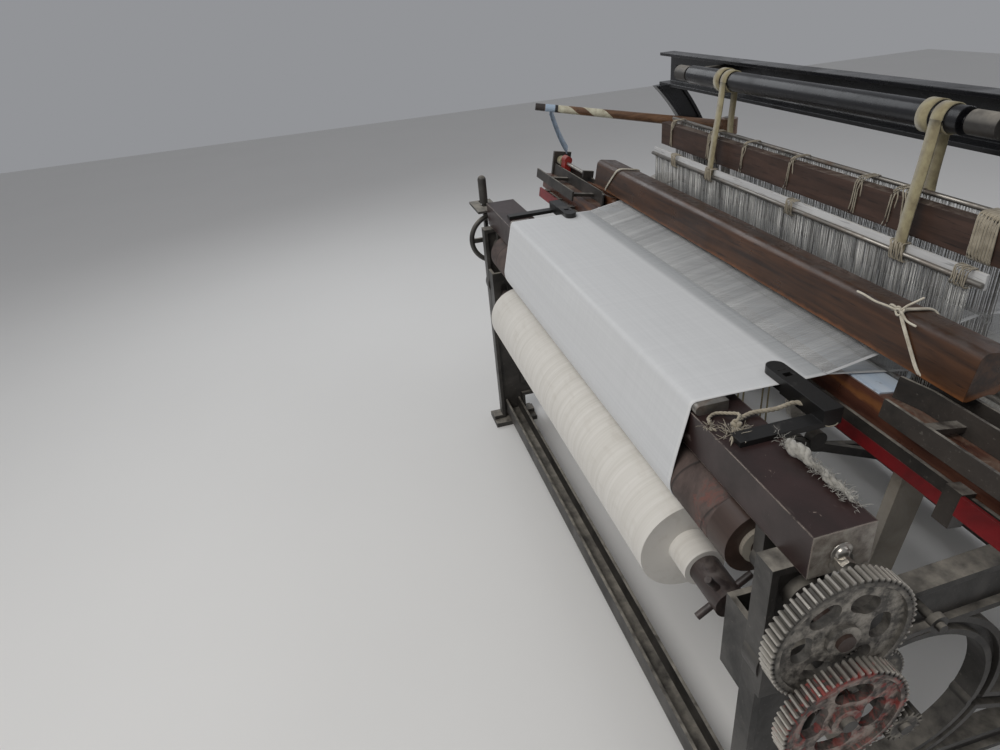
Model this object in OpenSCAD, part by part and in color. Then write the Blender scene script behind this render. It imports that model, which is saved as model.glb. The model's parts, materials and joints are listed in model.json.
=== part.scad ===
// Cone over-pick power loom, weaving a plain white cloth.
// X runs along the loom, +Y towards the warp beam, Z up, and the origin is on the floor.
// Points written as [y, z] lie in the upright plane that the side frames stand in.

/* [Framing] */
// Distance from the middle of the loom to the middle plane of each side frame
frame_x = 850; // [846:1:870]
// Thickness of a side frame's web
frame_web = 14; // [12:1:18]
// Width of the rib that runs round each edge of a side frame
frame_flange = 40; // [36:1:44]
// Depth of that rib
frame_rib = 12; // [9:1:14]
// Width of the upright posts
post_w = 100; // [90:1:106]
// Width of the sill between the posts
sill_w = 70; // [60:1:76]
// Length of each foot, front to back
foot_l = 168; // [150:2:170]
// Thickness of the foot plates
foot_t = 18; // [14:1:24]
// Width of the foot plates
foot_w = 104; // [96:1:110]
// Diameter of the holding-down bolt holes
foot_bolt_d = 18; // [14:1:22]

/* [Breast beam] */
// Length of the breast beam
beam_l = 1794; // [1780:2:1840]
// Depth of the breast beam, front to back
beam_d = 98; // [90:1:104]
// Height of the breast beam
beam_h = 75; // [70:1:76]
// Wall of the hollow breast beam
beam_wall = 10; // [8:1:14]
// Height of the rail that the cloth bends over
rail_h = 19; // [16:0.5:19.2]

/* [Cloth and warp] */
// Width of the woven cloth
cloth_w = 1144; // [1000:2:1146]
// Thickness of the cloth sheet
cloth_t = 0.8; // [0.5:0.1:1]
// Height of the fell, where the cloth begins
fell_z = 895; // [894.5:0.1:895.5]
// Radius of the finished roll of cloth
cloth_roll_r = 98.5; // [90:0.5:99]
// Radius of the yarn on the warp beam
yarn_r = 150; // [120:1:170]
// Distance between the dents of the reed
dent_pitch = 10.4; // [10.2:0.1:10.6]
// Width of a dent and of a heald wire
dent_w = 2; // [1.6:0.1:2.2]
// Width of one strip of warp
warp_strip_w = 3.2; // [2.4:0.1:3.4]

/* [Take-up] */
// Radius of the emery roller
emery_r = 60; // [54:0.5:60.5]
// Length of the emery roller's barrel
emery_l = 1508; // [1480:2:1520]
// Radius of the emery roller's shaft
emery_shaft_r = 14; // [12:0.5:16]
// Module of the take-up wheels' teeth
take_up_module = 3.5; // [3.4:0.05:3.6]
// Teeth on the beam wheel
beam_wheel_teeth = 62; // [58:1:64]
// Teeth on the carrier wheel
carrier_teeth = 56; // [52:1:58]
// Radius of the ratchet wheel
ratchet_r = 70; // [60:1:72]
// Teeth on the ratchet wheel
ratchet_teeth = 50; // [40:1:60]

/* [Driving] */
// Radius of the crankshaft
crank_shaft_r = 20; // [18:0.5:22]
// Throw of the cranks
crank_throw = 52; // [46:1:52]
// Distance between the ends of a crank arm
arm_l = 360; // [350:1:370]
// Radius of the crank pins
crank_pin_r = 18; // [16:0.5:20]
// Radius of the bottom shaft
bottom_shaft_r = 18; // [16:0.5:20]
// Module of the driving gears' teeth
drive_module = 6; // [5.8:0.1:6]
// Teeth on the crankshaft's gear
crank_teeth = 34; // [32:1:34]
// Face width of the driving gears
gear_face = 40; // [34:1:44]
// Radius of the fast and loose pulleys
pulley_r = 140; // [120:1:145]
// Face width of each pulley
pulley_w = 60; // [54:1:60]

/* [Sley] */
// Length of the sley over the shuttle boxes
sley_l = 2400; // [2380:4:2440]
// Angle of the sley from upright when it is right back
sley_back = 9.8; // [9.4:0.1:9.8]
// Height of the sley's wooden race above the rocking shaft
race_r = 749; // [748:0.5:749]
// Depth of the wooden sley, front to back
sley_d = 104; // [98:1:106]
// Height of the wooden sley
sley_h = 56; // [52:1:57]
// Radius of the rocking shaft
rock_r = 20; // [18:0.5:22]
// Height of the reed above the sley
reed_h = 86; // [80:1:87]
// Length of the reed
reed_l = 1240; // [1236:1:1250]
// Depth of the reed cap, front to back
cap_d = 75; // [70:1:78]
// Height of the reed cap
cap_h = 73; // [68:1:78]

/* [Shuttle boxes and picking] */
// Inside width of a shuttle box
box_w = 36; // [35:0.5:36]
// Height of the shuttle box's front plate
box_h = 40; // [34:1:42]
// Length of the shuttle
shuttle_l = 320; // [300:2:322]
// Width of the shuttle
shuttle_w = 32; // [28:0.5:33]
// Height of the shuttle
shuttle_h = 28; // [24:0.5:29]
// Radius of a picker's spindle
spindle_r = 7; // [6:0.5:8]
// Length of a picker along its spindle
picker_l = 40; // [34:1:42]
// Radius of the upright picking shafts
pick_shaft_r = 16; // [14:0.5:17]
// Sweep of the picking tappet's nose
tappet_nose_r = 104; // [96:1:104]
// Radius of a picking stick at its thick end
stick_r = 17; // [15:0.5:18]

/* [Healds] */
// Width of the heald staves
stave_l = 1236; // [1232:1:1240]
// Height of a heald between its rods
heald_h = 370; // [350:2:372]
// Fall of the front healds from the closed shed
front_fall = 45; // [43:0.5:45]
// Rise of the rear healds from the closed shed
rear_rise = 52; // [50:0.5:53]
// Radius of the heald roller, which carries the front straps
heald_roller_r = 24; // [22:0.5:25]
// Radius of the packing on the roller that carries the rear straps
rear_wrap_r = 26.7; // [25:0.1:28]
// Radius of the heald roller's journals
heald_shaft_r = 9; // [8:0.5:12]
// Height of the top rail
top_rail_h = 100; // [90:1:104]
// Depth of the top rail, front to back
top_rail_d = 50; // [44:1:56]
// Length of the top rail
top_rail_l = 1740; // [1720:2:1760]

/* [Hidden] */
$fn = 64;
fit = 0.05;
seat = 0.4;

// places along X, measured from the middle
web_in = frame_x - frame_web / 2;
web_out = frame_x + frame_web / 2;
flange_in = frame_x - frame_flange / 2;
flange_out = frame_x + frame_flange / 2;
boss_t = 52;
sword_x = 690;
sword_t = 22;
arm_x = 648;
arm_t = 20;
crank_web_t = 16;
pick_x = 770;
cone_r = 28;
cone_x = pick_x - 38;
tappet_x = pick_x + 6;
gear_x = flange_out + 16;
pulley_x = flange_out + 20;
wheel_x = 928;
wheel_t = 26;
carrier_x = wheel_x + wheel_t + 4;
ratchet_x = flange_out + 20;

// places in the upright plane
front_y = -590;
rear_y = 500;
emery = [-580, 737];
cloth_core = [-600, emery[1] - sqrt(pow(emery_r + cloth_roll_r + 1.75, 2) - 400)];
lever_pivot = [-470, 590];
rock = [-340, 130];
sword_pin = [-186, 720];
crank = [sword_pin[0] + arm_l - crank_throw, sword_pin[1]];
bottom = [crank[0], crank[1] - drive_module * crank_teeth * 1.5];
warp_core = [505, 450];
rest_bar = [545, 860];
rest_r = 28;
treadle_pin = [430, 130];
fell_y = -343.5;
front_heald_y = -107;
rear_heald_y = -38;
roller_axis = [-60, 1273];
pick_y = 252;
pick_top_z = 1050;
stick_tip = [950, -390, 1170];
top_rail_y = 35;
top_rail_z = 1200;
fork_rod = [-60, 630];
handle_x = -973;
hand_wheel_x = frame_x + 98;
hanger_x = 484;
hanger_l = 60;

beam_y = -607;
beam_z = 805;
beam_top = beam_z + beam_h;
cloth_top = beam_top + rail_h;
rail_back = beam_y + 62;
strip_gap = dent_pitch - dent_w;
strips = 2 * floor(cloth_w / dent_pitch / 2);
dents = 2 * floor((min(reed_l, stave_l) - 8) / dent_pitch / 2);

// take-up wheel train
pinion_teeth = 15;
change_teeth = 16;
carrier_reach = take_up_module * (beam_wheel_teeth + pinion_teeth) / 2;
carrier_c = [-575, emery[1] - sqrt(carrier_reach * carrier_reach - 25)];
carrier_angle = atan2(carrier_c[1] - emery[1], carrier_c[0] - emery[0]);
ratchet_reach = take_up_module * (carrier_teeth + change_teeth) / 2;
ratchet_angle = -30;
ratchet_c = carrier_c + ratchet_reach * [cos(ratchet_angle), sin(ratchet_angle)];
pawl_pin = [-350, 622];

// draws a [y, z] outline and gives it a length along X
module along_x(x, length) {
    translate([x, 0, 0]) rotate([90, 0, 90]) linear_extrude(length) children();
}

module rod_x(x, length, c, r) {
    translate([x, c[0], c[1]]) rotate([0, 90, 0]) cylinder(h = length, r = r);
}

module both_sides() {
    children();
    mirror([1, 0, 0]) children();
}

// stands its children, which point up, on the line from p to q
module strut(p, q) {
    d = q - p;
    translate(p) rotate([0, acos(d[2] / norm(d)), atan2(d[1], d[0])]) children();
}

// a bar with round ends, which its sides meet just inside the rounds
module bar2(p, q, w) {
    d = q - p;
    tuck = 0.02;
    translate(p) rotate(atan2(d[1], d[0])) translate([0, tuck - w / 2])
        square([norm(d), w - 2 * tuck]);
    translate(p) circle(d = w);
    translate(q) circle(d = w);
}

module slab(y0, z0, y1, z1, g = 0) {
    translate([y0 - g, z0 - g]) square([y1 - y0 + 2 * g, z1 - z0 + 2 * g]);
}

module ring2(c, r, w) {
    translate(c) difference() {
        circle(r + w / 2, $fn = 128);
        circle(r - w / 2, $fn = 128);
    }
}

// a toothed outline, with a tooth centred on the first axis
module gear2(m, n) {
    pitch = m * n / 2;
    half = [-0.3, -0.14, 0.14, 0.3];
    reach = [pitch - 1.2 * m, pitch + 0.9 * m, pitch + 0.9 * m, pitch - 1.2 * m];
    polygon([for (i = [0:n - 1]) for (k = [0:3]) let (a = 360 * (i + half[k]) / n)
        reach[k] * [cos(a), sin(a)]]);
}

// outline of a side frame, grown all round by g
module frame_outline(g = 0) {
    front_in = front_y + post_w / 2;
    ring_r = 196;
    slab(front_y - post_w / 2, 0, front_in, beam_z, g);
    slab(front_y - foot_l / 2, 0, front_y + foot_l / 2, 34, g);
    slab(rear_y - 45, 0, rear_y + 45, 520, g);
    slab(rear_y - foot_l / 2, 0, rear_y + foot_l / 2, 34, g);
    bar2([front_y, 140], [rear_y, 140], sill_w + 2 * g);
    bar2([front_y, 600], [crank[0], 640], 108 + 2 * g);
    bar2([crank[0], 140], crank - [0, 90], 84 + 2 * g);
    bar2([crank[0], 640], [rear_y, 470], 100 + 2 * g);
    bar2([rear_y, 470], rest_bar, 2 * (rest_r + frame_rib + 4) + 2 * g);
    slab(crank[0] - 58, 600, crank[0] + 58, crank[1], g);
    slab(190, 560, 312, 700, g);
    translate(bottom) circle(52 + g);
    translate(rock) circle(46 + g);
    translate(warp_core) circle(58 + g);
    ring2([front_in + ring_r + 10, 368], ring_r, 40 + 2 * g);
    bar2([front_in + 2 * ring_r - 2, 300], [crank[0], 200], 46 + 2 * g);
    bar2([crank[0], 200], [rear_y, 330], 46 + 2 * g);
}

module side_frame() {
    difference() {
        union() {
            along_x(web_in, frame_web) frame_outline();
            along_x(flange_in, frame_flange) difference() {
                frame_outline();
                frame_outline(-frame_rib);
            }
            for (c = [crank, bottom, rock, warp_core, emery, fork_rod, lever_pivot])
                rod_x(frame_x - boss_t / 2, boss_t, c, c == crank ? 50 : 30);
            for (y = [front_y, rear_y])
                translate([frame_x - foot_w / 2, y - foot_l / 2, 0]) cube([foot_w, foot_l, foot_t]);
        }
        side_frame_bores();
    }
}

module side_frame_bores() {
    x = frame_x - boss_t / 2 - 1;
    rod_x(x, boss_t + 2, crank, crank_shaft_r + fit);
    rod_x(x, boss_t + 2, bottom, bottom_shaft_r + fit);
    rod_x(x, boss_t + 2, rock, rock_r + fit);
    rod_x(x, boss_t + 2, warp_core, 20 + fit);
    rod_x(x, boss_t + 2, emery, emery_shaft_r + fit);
    rod_x(x, boss_t + 2, fork_rod, 9 + fit);
    rod_x(x, boss_t + 2, lever_pivot, 10 + fit);
    translate([x, crank[0] - 60, crank[1]]) cube([boss_t + 2, 120, 60]);
    for (y = [front_y, rear_y])
        translate([frame_x + foot_w / 2 - 18, y, -1]) cylinder(h = foot_t + 2, d = foot_bolt_d);
}

module breast_beam() {
    color("#3b2a26") difference() {
        along_x(-beam_l / 2, beam_l) slab(beam_y, beam_z, beam_y + beam_d, beam_top);
        along_x(-beam_l / 2 + 30, beam_l - 60)
            slab(beam_y + beam_wall, beam_z - 1, beam_y + beam_d - beam_wall, beam_top - beam_wall);
    }
}

// the rail under the cloth, rounded where the cloth turns down
module breast_rail() {
    r = rail_h / 2;
    color("#6b6660") along_x(-cloth_w / 2 - 14, cloth_w + 28) {
        slab(beam_y + r, beam_top, rail_back, cloth_top);
        translate([beam_y + r, beam_top + r]) circle(r);
    }
}

// a channel lying on its back, with its ends against the side frames' webs
module channel2(y, z, w, h) {
    difference() {
        slab(y - w / 2, z, y + w / 2, z + h);
        slab(y - w / 2 + 8, z + 8, y + w / 2 - 8, z + h + 1);
    }
}

// floor rails, treadle pin and the back rest that the warp bends over
module cross_rails() {
    color("#4a4844") {
        along_x(-web_in, 2 * web_in) channel2(front_y, 40, 60, 56);
        along_x(-web_in, 2 * web_in) channel2(rear_y, 40, 60, 56);
        rod_x(-web_in, 2 * web_in, treadle_pin, 12);
        rod_x(-web_in, 2 * web_in, rest_bar, rest_r);
    }
}

// channel that lies open to the front, with round-ended slots in its web
module top_rail() {
    wall = 9;
    slot_h = 20;
    back = top_rail_y + top_rail_d;
    color("#17181a") difference() {
        along_x(-top_rail_l / 2, top_rail_l) difference() {
            slab(top_rail_y, top_rail_z, back, top_rail_z + top_rail_h);
            slab(top_rail_y - 1, top_rail_z + wall, back - wall, top_rail_z + top_rail_h - wall);
        }
        // middle and length of the straight part of each slot
        for (slot = [[-780, 84], [-600, 60], [-395, 44], [-230, 88], [-70, 74], [112, 112], [330, 90],
                [560, 100], [760, 60]])
            translate([slot[0], back - wall - 1, top_rail_z + top_rail_h / 2]) {
                translate([-slot[1] / 2, 0, -slot_h / 2]) cube([slot[1], wall + 2, slot_h]);
                for (s = [-1, 1]) translate([s * slot[1] / 2, 0, 0]) rotate([-90, 0, 0])
                    cylinder(h = wall + 2, d = slot_h);
            }
    }
}

// cast arms that curve up from the side frames to the top rail
module rail_arches() {
    arch_r = 738.5;
    foot_z = 700;
    lip = 30;
    color("#1f2022") both_sides() {
        along_x(web_in, frame_web) arch_outline(arch_r, foot_z, 70);
        for (s = [-1, 1]) along_x(frame_x - lip / 2, lip) arch_outline(arch_r + s * 30, foot_z, 10);
        along_x(flange_in, frame_flange) slab(192, foot_z, 310, foot_z + 16);
        along_x(flange_in, frame_flange)
            slab(top_rail_y - 15, top_rail_z - 14, top_rail_y + top_rail_d + 10, top_rail_z);
    }
}

module arch_outline(r, foot_z, w) {
    intersection() {
        ring2([250 - 738.5, foot_z], r, w);
        slab(-100, foot_z, 400, top_rail_z);
    }
}

// caps, hangers and brackets that carry the shafts
module shaft_bearings() {
    color("#34332f") both_sides() {
        crank_cap();
        emery_hanger();
        cloth_roller_bracket();
        heald_hanger();
        picking_bearing(360, 34);
        picking_bearing(pick_top_z - 120, 40);
    }
}

module crank_cap() {
    difference() {
        along_x(frame_x - boss_t / 2, boss_t) intersection() {
            union() {
                translate(crank) circle(46);
                slab(crank[0] - 56, crank[1], crank[0] + 56, crank[1] + 16);
            }
            slab(crank[0] - 60, crank[1], crank[0] + 60, crank[1] + 60);
        }
        rod_x(frame_x - boss_t / 2 - 1, boss_t + 2, crank, crank_shaft_r + fit);
    }
}

module emery_hanger() {
    along_x(776, 24) difference() {
        union() {
            slab(emery[0] - 26, emery[1], emery[0] + 26, beam_z);
            translate(emery) circle(30);
            slab(beam_y + 2, beam_z - 10, beam_y + beam_d - 2, beam_z);
        }
        translate(emery) circle(emery_shaft_r + fit);
    }
}

// slotted plate that guides the end of the cloth roller
module cloth_roller_bracket() {
    plate_x = 770;
    along_x(plate_x, 12) difference() {
        slab(-639, 500, -562, 662);
        bar2(cloth_core - [0, 40], cloth_core + [0, 30], 24 + 4 * fit);
    }
    along_x(plate_x + 12, flange_in - plate_x - 12) slab(-639, 500, -629, 662);
}

// long bearing for the heald roller, on an arm from the web of the top rail
module heald_hanger() {
    difference() {
        union() {
            rod_x(hanger_x, hanger_l, roller_axis, 21);
            along_x(hanger_x + 20, 18)
                slab(roller_axis[0], roller_axis[1] - 14, top_rail_y + top_rail_d - 9, roller_axis[1] + 10);
        }
        rod_x(hanger_x - 1, hanger_l + 2, roller_axis, heald_shaft_r + fit);
    }
}

// bearing for the upright picking shaft, on a lug from the framing
module picking_bearing(z, h) {
    difference() {
        union() {
            translate([pick_x, pick_y, z]) cylinder(h = h, r = 25);
            translate([pick_x, pick_y - 18, z]) cube([flange_in - pick_x, 36, h]);
            if (z < 400) lug_to_sill(z);
        }
        translate([pick_x, pick_y, z - 1]) cylinder(h = h + 2, r = pick_shaft_r + fit);
    }
}

// foot of the lower picking bearing, down the inside of the framing to the sill
module lug_to_sill(z) {
    translate([flange_in - 16, pick_y - 18, 150]) cube([16, 36, z - 149]);
}

module hex_bolt(x, c, r) {
    translate([x, c[0], c[1]]) rotate([0, 90, 0]) {
        cylinder(h = 3, r = r * 1.5);
        translate([0, 0, 3]) cylinder(h = r * 1.1, r = r, $fn = 6);
    }
}

module frame_bolts() {
    color("#77736b") both_sides() {
        for (c = [[front_y, 62], [rear_y, 62]]) for (s = [-1, 1])
            hex_bolt(web_out, c + [s * 16, 0], 9);
        for (s = [-1, 1]) translate([frame_x, crank[0] + s * 50, crank[1] + 16]) {
            cylinder(h = 12, r = 8, $fn = 6);
        }
        for (s = [-1, 1]) translate([frame_x + s * 12, 300, 716]) cylinder(h = 9, r = 8, $fn = 6);
        hex_bolt(beam_l / 2, [beam_y + beam_d / 2, beam_z + 20], 12);
    }
}

// a pin-roller temple on each side: a slotted cap over the cloth and a trough under it
module temples() {
    w = 35;
    y = -423;
    in_x = cloth_w / 2 - 55;
    block_x = cloth_w / 2 + 4;
    out_x = block_x + 114;
    rise = (cloth_top + seat + cloth_t / 2 - fell_z) / (fell_y - rail_back);
    top = fell_z + cloth_t / 2 + rise * (fell_y - y + w / 2);
    color("#161616") both_sides() {
        difference() {
            translate([in_x + w / 2, y - w / 2, top + seat]) cube([out_x - in_x - w / 2, w, 14]);
            for (x = [in_x + 24, in_x + 46]) translate([x, y - 8, top]) cube([12, 16, 20]);
        }
        translate([in_x + w / 2, y, top + seat]) cylinder(h = 14, d = w);
        translate([in_x, y - 14, fell_z - 13.5]) cube([out_x - in_x, 28, 12.6]);
        translate([block_x, y - w / 2, fell_z - 13.5]) cube([out_x - block_x, w, top + seat + 13.5 - fell_z]);
        translate([out_x - 30, beam_y + 20, beam_top]) cube([30, y + 14 - beam_y - 20, 10]);
        translate([out_x - 30, y - w / 2, beam_top + 1.5]) cube([30, w, 20]);
    }
}

// points round a bend, from one angle to another
function bend_pts(c, r, from, to) =
    [for (k = [0:12]) let (turn = from + (to - from) * k / 12) c + r * [cos(turn), sin(turn)]];

// draws a sheet between two lines of points that run side by side
module sheet2(under, over) {
    n = len(over) - 1;
    polygon(concat(under, [for (k = [0:n]) over[n - k]]));
}

// cloth from the fell over the breast rail, down to the emery roller and round to the nip
module woven_cloth() {
    turn = [beam_y + rail_h / 2, beam_top + rail_h / 2];
    turn_r = rail_h / 2 + seat;
    hug_r = emery_r + seat;
    drop = emery - turn;
    // angle at which the sheet leaves the rail and meets the roller
    lean = 270 + atan2(drop[1], drop[0]) - asin((hug_r - turn_r) / norm(drop));
    function cloth_line(out) = concat([[fell_y, fell_z - cloth_t / 2 + out],
        [rail_back, cloth_top + seat + out]],
        bend_pts(turn, turn_r + out, 90, lean), bend_pts(emery, hug_r + out, lean, 262));
    color("#d9dad8") along_x(-cloth_w / 2, cloth_w) sheet2(cloth_line(0), cloth_line(cloth_t));
}

// one strip of warp at the fell side of each reed gap, on a spine near the back rest
module warp_strips(side) {
    for (i = [0:strips - 1])
        translate([(i - (strips - 1) / 2) * dent_pitch + side * strip_gap / 4 - warp_strip_w / 2, 0, 0])
            rotate([90, 0, 90]) linear_extrude(warp_strip_w) children();
}

// the threads of the rear healds: up over the eyes, over the back rest and down to the yarn
module upper_warp() {
    rest_top = rest_bar[1] + rest_r + seat;
    function back_line(out) = concat([[rest_bar[0] - 60, rest_top + 6 + out]],
        bend_pts(rest_bar, rest_r + seat + out, 90, 10),
        [[warp_core[0] + yarn_r + seat + out, warp_core[1] + 30]]);
    color("#e6e4df") {
        warp_strips(1) {
            polygon([[fell_y + seat, fell_z], [fell_y + seat, fell_z + 0.4], [rear_heald_y, rear_eye + 0.5],
                [rest_bar[0] - 60, rest_top + 7], [rest_bar[0] - 60, rest_top + 6],
                [rear_heald_y, rear_eye - 0.5]]);
        }
        along_x(-cloth_w / 2, cloth_w) {
            sheet2(back_line(0), back_line(1));
        }
    }
}

// the threads of the front healds, held down below the shuttle's path
module lower_warp() {
    rest_top = rest_bar[1] + rest_r + seat;
    end_y = rest_bar[0] - 60;
    color("#e6e4df") {
        warp_strips(-1) {
            polygon([[fell_y + seat, fell_z - 0.4], [fell_y + seat, fell_z], [front_heald_y, front_eye + 0.5],
                [end_y, rest_top + 0.5], [end_y, rest_top - 0.5], [front_heald_y, front_eye - 0.5]]);
        }
        along_x(-cloth_w / 2, cloth_w) slab(end_y, rest_top - 1, end_y + 20, rest_top + 0.5);
    }
}

// plate and studs outside the right frame, for the take-up wheels
module take_up_bracket() {
    along_x(flange_out, 10) difference() {
        union() {
            bar2(carrier_c, ratchet_c, 80);
            slab(front_y - post_w / 2, carrier_c[1] - 60, front_y, carrier_c[1] + 20);
        }
        translate(lever_pivot) circle(34);
    }
    rod_x(flange_out + 10, carrier_x + wheel_t + 8 - flange_out - 10, carrier_c, 12);
    rod_x(flange_out + 10, carrier_x + wheel_t + 6 - flange_out - 10, ratchet_c, 10);
    rod_x(web_out, flange_out + 42 - web_out, pawl_pin, 8);
}

// bracket that carries the starting handle's pivot and the slotted plate that guides it
module handle_bracket() {
    x = handle_x;
    translate([x - 12, front_y - 2, 282]) cube([-web_out - x + 12, 20, 36]);
    translate([x, front_y - 2, 300]) rotate([90, 0, 0]) cylinder(h = 18, r = 10);
    difference() {
        translate([x - 75, front_y - 50, 845]) cube([-x + 75 - beam_l / 2, 80, 8]);
        translate([x - 65, front_y - 17, 844]) cube([82, 14, 10]);
    }
}

module outer_brackets() {
    color("#403d38") {
        take_up_bracket();
        handle_bracket();
    }
}

module crankshaft() {
    pin = crank + [crank_throw, 0];
    inner = arm_x - 2 - crank_web_t;
    outer = arm_x + arm_t + 2;
    color("#55534f") {
        rod_x(-inner, 2 * inner, crank, crank_shaft_r);
        both_sides() {
            along_x(inner, crank_web_t) bar2(crank, pin, 50);
            along_x(outer, crank_web_t) bar2(crank, pin, 50);
            rod_x(inner + crank_web_t, outer - inner - crank_web_t, pin, crank_pin_r);
        }
        rod_x(outer + crank_web_t, gear_x + gear_face + 8 - outer - crank_web_t, crank, crank_shaft_r);
        mirror([1, 0, 0]) rod_x(outer + crank_web_t,
            pulley_x + 2 * pulley_w + 10 - outer - crank_web_t, crank, crank_shaft_r);
    }
}

// a cast wheel: toothed rim, web with round windows, and hub
module spoked_gear(m, n, face, hub_r, bore, windows, window_r) {
    rim = m * n / 2 - 3.2 * m;
    mid = (rim + hub_r) / 2;
    difference() {
        union() {
            linear_extrude(face) difference() {
                gear2(m, n);
                circle(rim, $fn = 96);
            }
            translate([0, 0, face / 4]) cylinder(h = face / 2, r = rim + 1, $fn = 96);
            cylinder(h = face, r = hub_r);
        }
        translate([0, 0, -1]) cylinder(h = face + 2, r = bore);
        for (i = [0:1:windows - 1]) rotate(360 * (i + 0.5) / windows)
            translate([mid, 0, -1]) cylinder(h = face + 2, r = window_r);
    }
}

// stands a wheel drawn flat on the line of its shaft, turned by an angle
module on_shaft(x, c, turn) {
    translate([x, c[0], c[1]]) rotate([90, 0, 90]) rotate(turn) children();
}

module crank_gear() {
    color("#4d4a46") on_shaft(gear_x, crank, -90)
        spoked_gear(drive_module, crank_teeth, gear_face, 38, crank_shaft_r, 0, 10);
}

module bottom_gear() {
    n = 2 * crank_teeth;
    color("#4d4a46") on_shaft(gear_x, bottom, 90 + 180 / n)
        spoked_gear(drive_module, n, gear_face, 42, bottom_shaft_r, 6, 46);
}

module pulley(bore) {
    rim_t = 9;
    difference() {
        union() {
            rotate_extrude($fn = 96) polygon([[pulley_r - rim_t, 0], [pulley_r - 2, 0],
                [pulley_r, pulley_w / 2], [pulley_r - 2, pulley_w], [pulley_r - rim_t, pulley_w]]);
            cylinder(h = pulley_w, r = 36);
            for (i = [0:3]) rotate(90 * i + 45)
                translate([0, -14, pulley_w / 2 - 8]) cube([pulley_r - rim_t + 1, 28, 16]);
        }
        translate([0, 0, -1]) cylinder(h = pulley_w + 2, r = bore);
    }
}

module fast_pulley() {
    color("#3e3c3a") on_shaft(-pulley_x - pulley_w, crank, 0) pulley(crank_shaft_r);
}

module loose_pulley() {
    color("#3e3c3a") on_shaft(-pulley_x - 2 * pulley_w - 2, crank, 0) pulley(crank_shaft_r + fit);
}

// arms from the crank pins to the sley swords; the stud stops just short of the sword
module crank_arms() {
    pin = crank + [crank_throw, 0];
    color("#6a5a48") both_sides() {
        along_x(arm_x, arm_t) difference() {
            union() {
                bar2(pin, sword_pin, 34);
                translate(pin) circle(34);
                translate(sword_pin) circle(22);
            }
            translate(pin) circle(crank_pin_r + fit);
        }
        rod_x(arm_x + arm_t, sword_x - 0.5 - arm_x - arm_t, sword_pin, 12);
    }
}

module bottom_shaft() {
    color("#55534f") rod_x(-frame_x - 40, gear_x + gear_face + 8 + frame_x + 40, bottom, bottom_shaft_r);
}

// shedding tappets in the middle and a nosed picking tappet near each frame
module tappets() {
    color("#4b4945") {
        for (s = [-1, 1]) on_shaft(s * 30 - 12, bottom, s * 90) shedding_tappet();
        both_sides() on_shaft(tappet_x, bottom, 0) picking_tappet();
    }
}

module shedding_tappet() {
    linear_extrude(24) difference() {
        union() {
            circle(48);
            translate([26, 0]) circle(60);
            translate([48, 0]) circle(55);
        }
        circle(bottom_shaft_r);
    }
}

// the nose turns the cone inwards as it passes over the bottom shaft
module picking_tappet() {
    nose_reach = tappet_x - cone_x - cone_r - 1.5;
    difference() {
        union() {
            cylinder(h = 22, r = 62);
            intersection() {
                translate([0, 0, -nose_reach]) cylinder(h = nose_reach + 22, r = tappet_nose_r);
                translate([56, -17, -nose_reach]) cube([tappet_nose_r, 34, nose_reach + 22]);
            }
        }
        translate([0, 0, -1]) cylinder(h = 24, r = bottom_shaft_r);
    }
}

// everything on the sley is drawn upright from the rocking shaft and leant back
module on_sley() {
    translate([0, rock[0], rock[1]]) rotate([-sley_back, 0, 0]) children();
}

sley_top = race_r - 3;
sley_bottom = sley_top - sley_h;
sley_front = 22 - sley_d;

module sley_swords() {
    pin = [51.3, 607.6];
    color("#474540") on_sley() {
        rod_x(-frame_x - 30, 2 * frame_x + 60, [0, 0], rock_r);
        both_sides() along_x(sword_x, sword_t) {
            circle(38);
            polygon([[-26, 0], [26, 0], [22, sley_bottom], [-44, sley_bottom]]);
            bar2([0, 596], pin, 52);
        }
    }
}

module sley_beam() {
    color("#5b3a2a") on_sley() along_x(-sley_l / 2, sley_l) {
        slab(sley_front + 6, sley_bottom, 22, sley_top);
        slab(sley_front, sley_bottom + 6, 0, sley_top);
        translate([sley_front + 6, sley_bottom + 6]) circle(6);
    }
}

module race_strip() {
    color("#b9c6d6") on_sley() along_x(-reed_l / 2 - 18, reed_l + 36)
        slab(sley_front + 4, sley_top, -6, race_r);
}

// places the gaps between the dents or wires
module dent_gaps() {
    for (i = [0:dents - 1]) translate([(i - (dents - 1) / 2) * dent_pitch - strip_gap / 2, 0, 0])
        children();
}

module reed() {
    color("#8d8f90") on_sley() difference() {
        translate([-reed_l / 2, -3, sley_top]) cube([reed_l, 6, reed_h]);
        dent_gaps() translate([0, -4, sley_top + 3.5]) cube([strip_gap, 8, reed_h - 7]);
    }
}

cap_bottom = sley_top + 61;
cap_front = 25 - cap_d;

// wooden cap with a groove for the reed and a lip that hangs lower in front
module reed_cap() {
    top = cap_bottom + cap_h;
    over = 140;
    color("#4a2318") on_sley() difference() {
        along_x(-reed_l / 2 - over, reed_l + 2 * over) {
            polygon([[cap_front, cap_bottom - 10], [cap_front + 8, cap_bottom - 11], [-5, cap_bottom],
                [8, cap_bottom], [25, cap_bottom + 14], [25, top - 12], [13, top], [cap_front + 16, top],
                [cap_front, top - 16]]);
            translate([13, top - 12]) circle(12);
            translate([cap_front + 16, top - 16]) circle(16);
        }
        along_x(-reed_l / 2 - 1, reed_l + 2) slab(-3.5, cap_bottom - 1, 3.5, sley_top + reed_h);
    }
}

box_in = reed_l / 2 + 20;
box_out = sley_l / 2;
post_x = box_in + 50;
box_back = -4;
box_front = box_back - box_w;
spindle = [-22, sley_top + 55];
spindle_in = 915;

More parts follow.
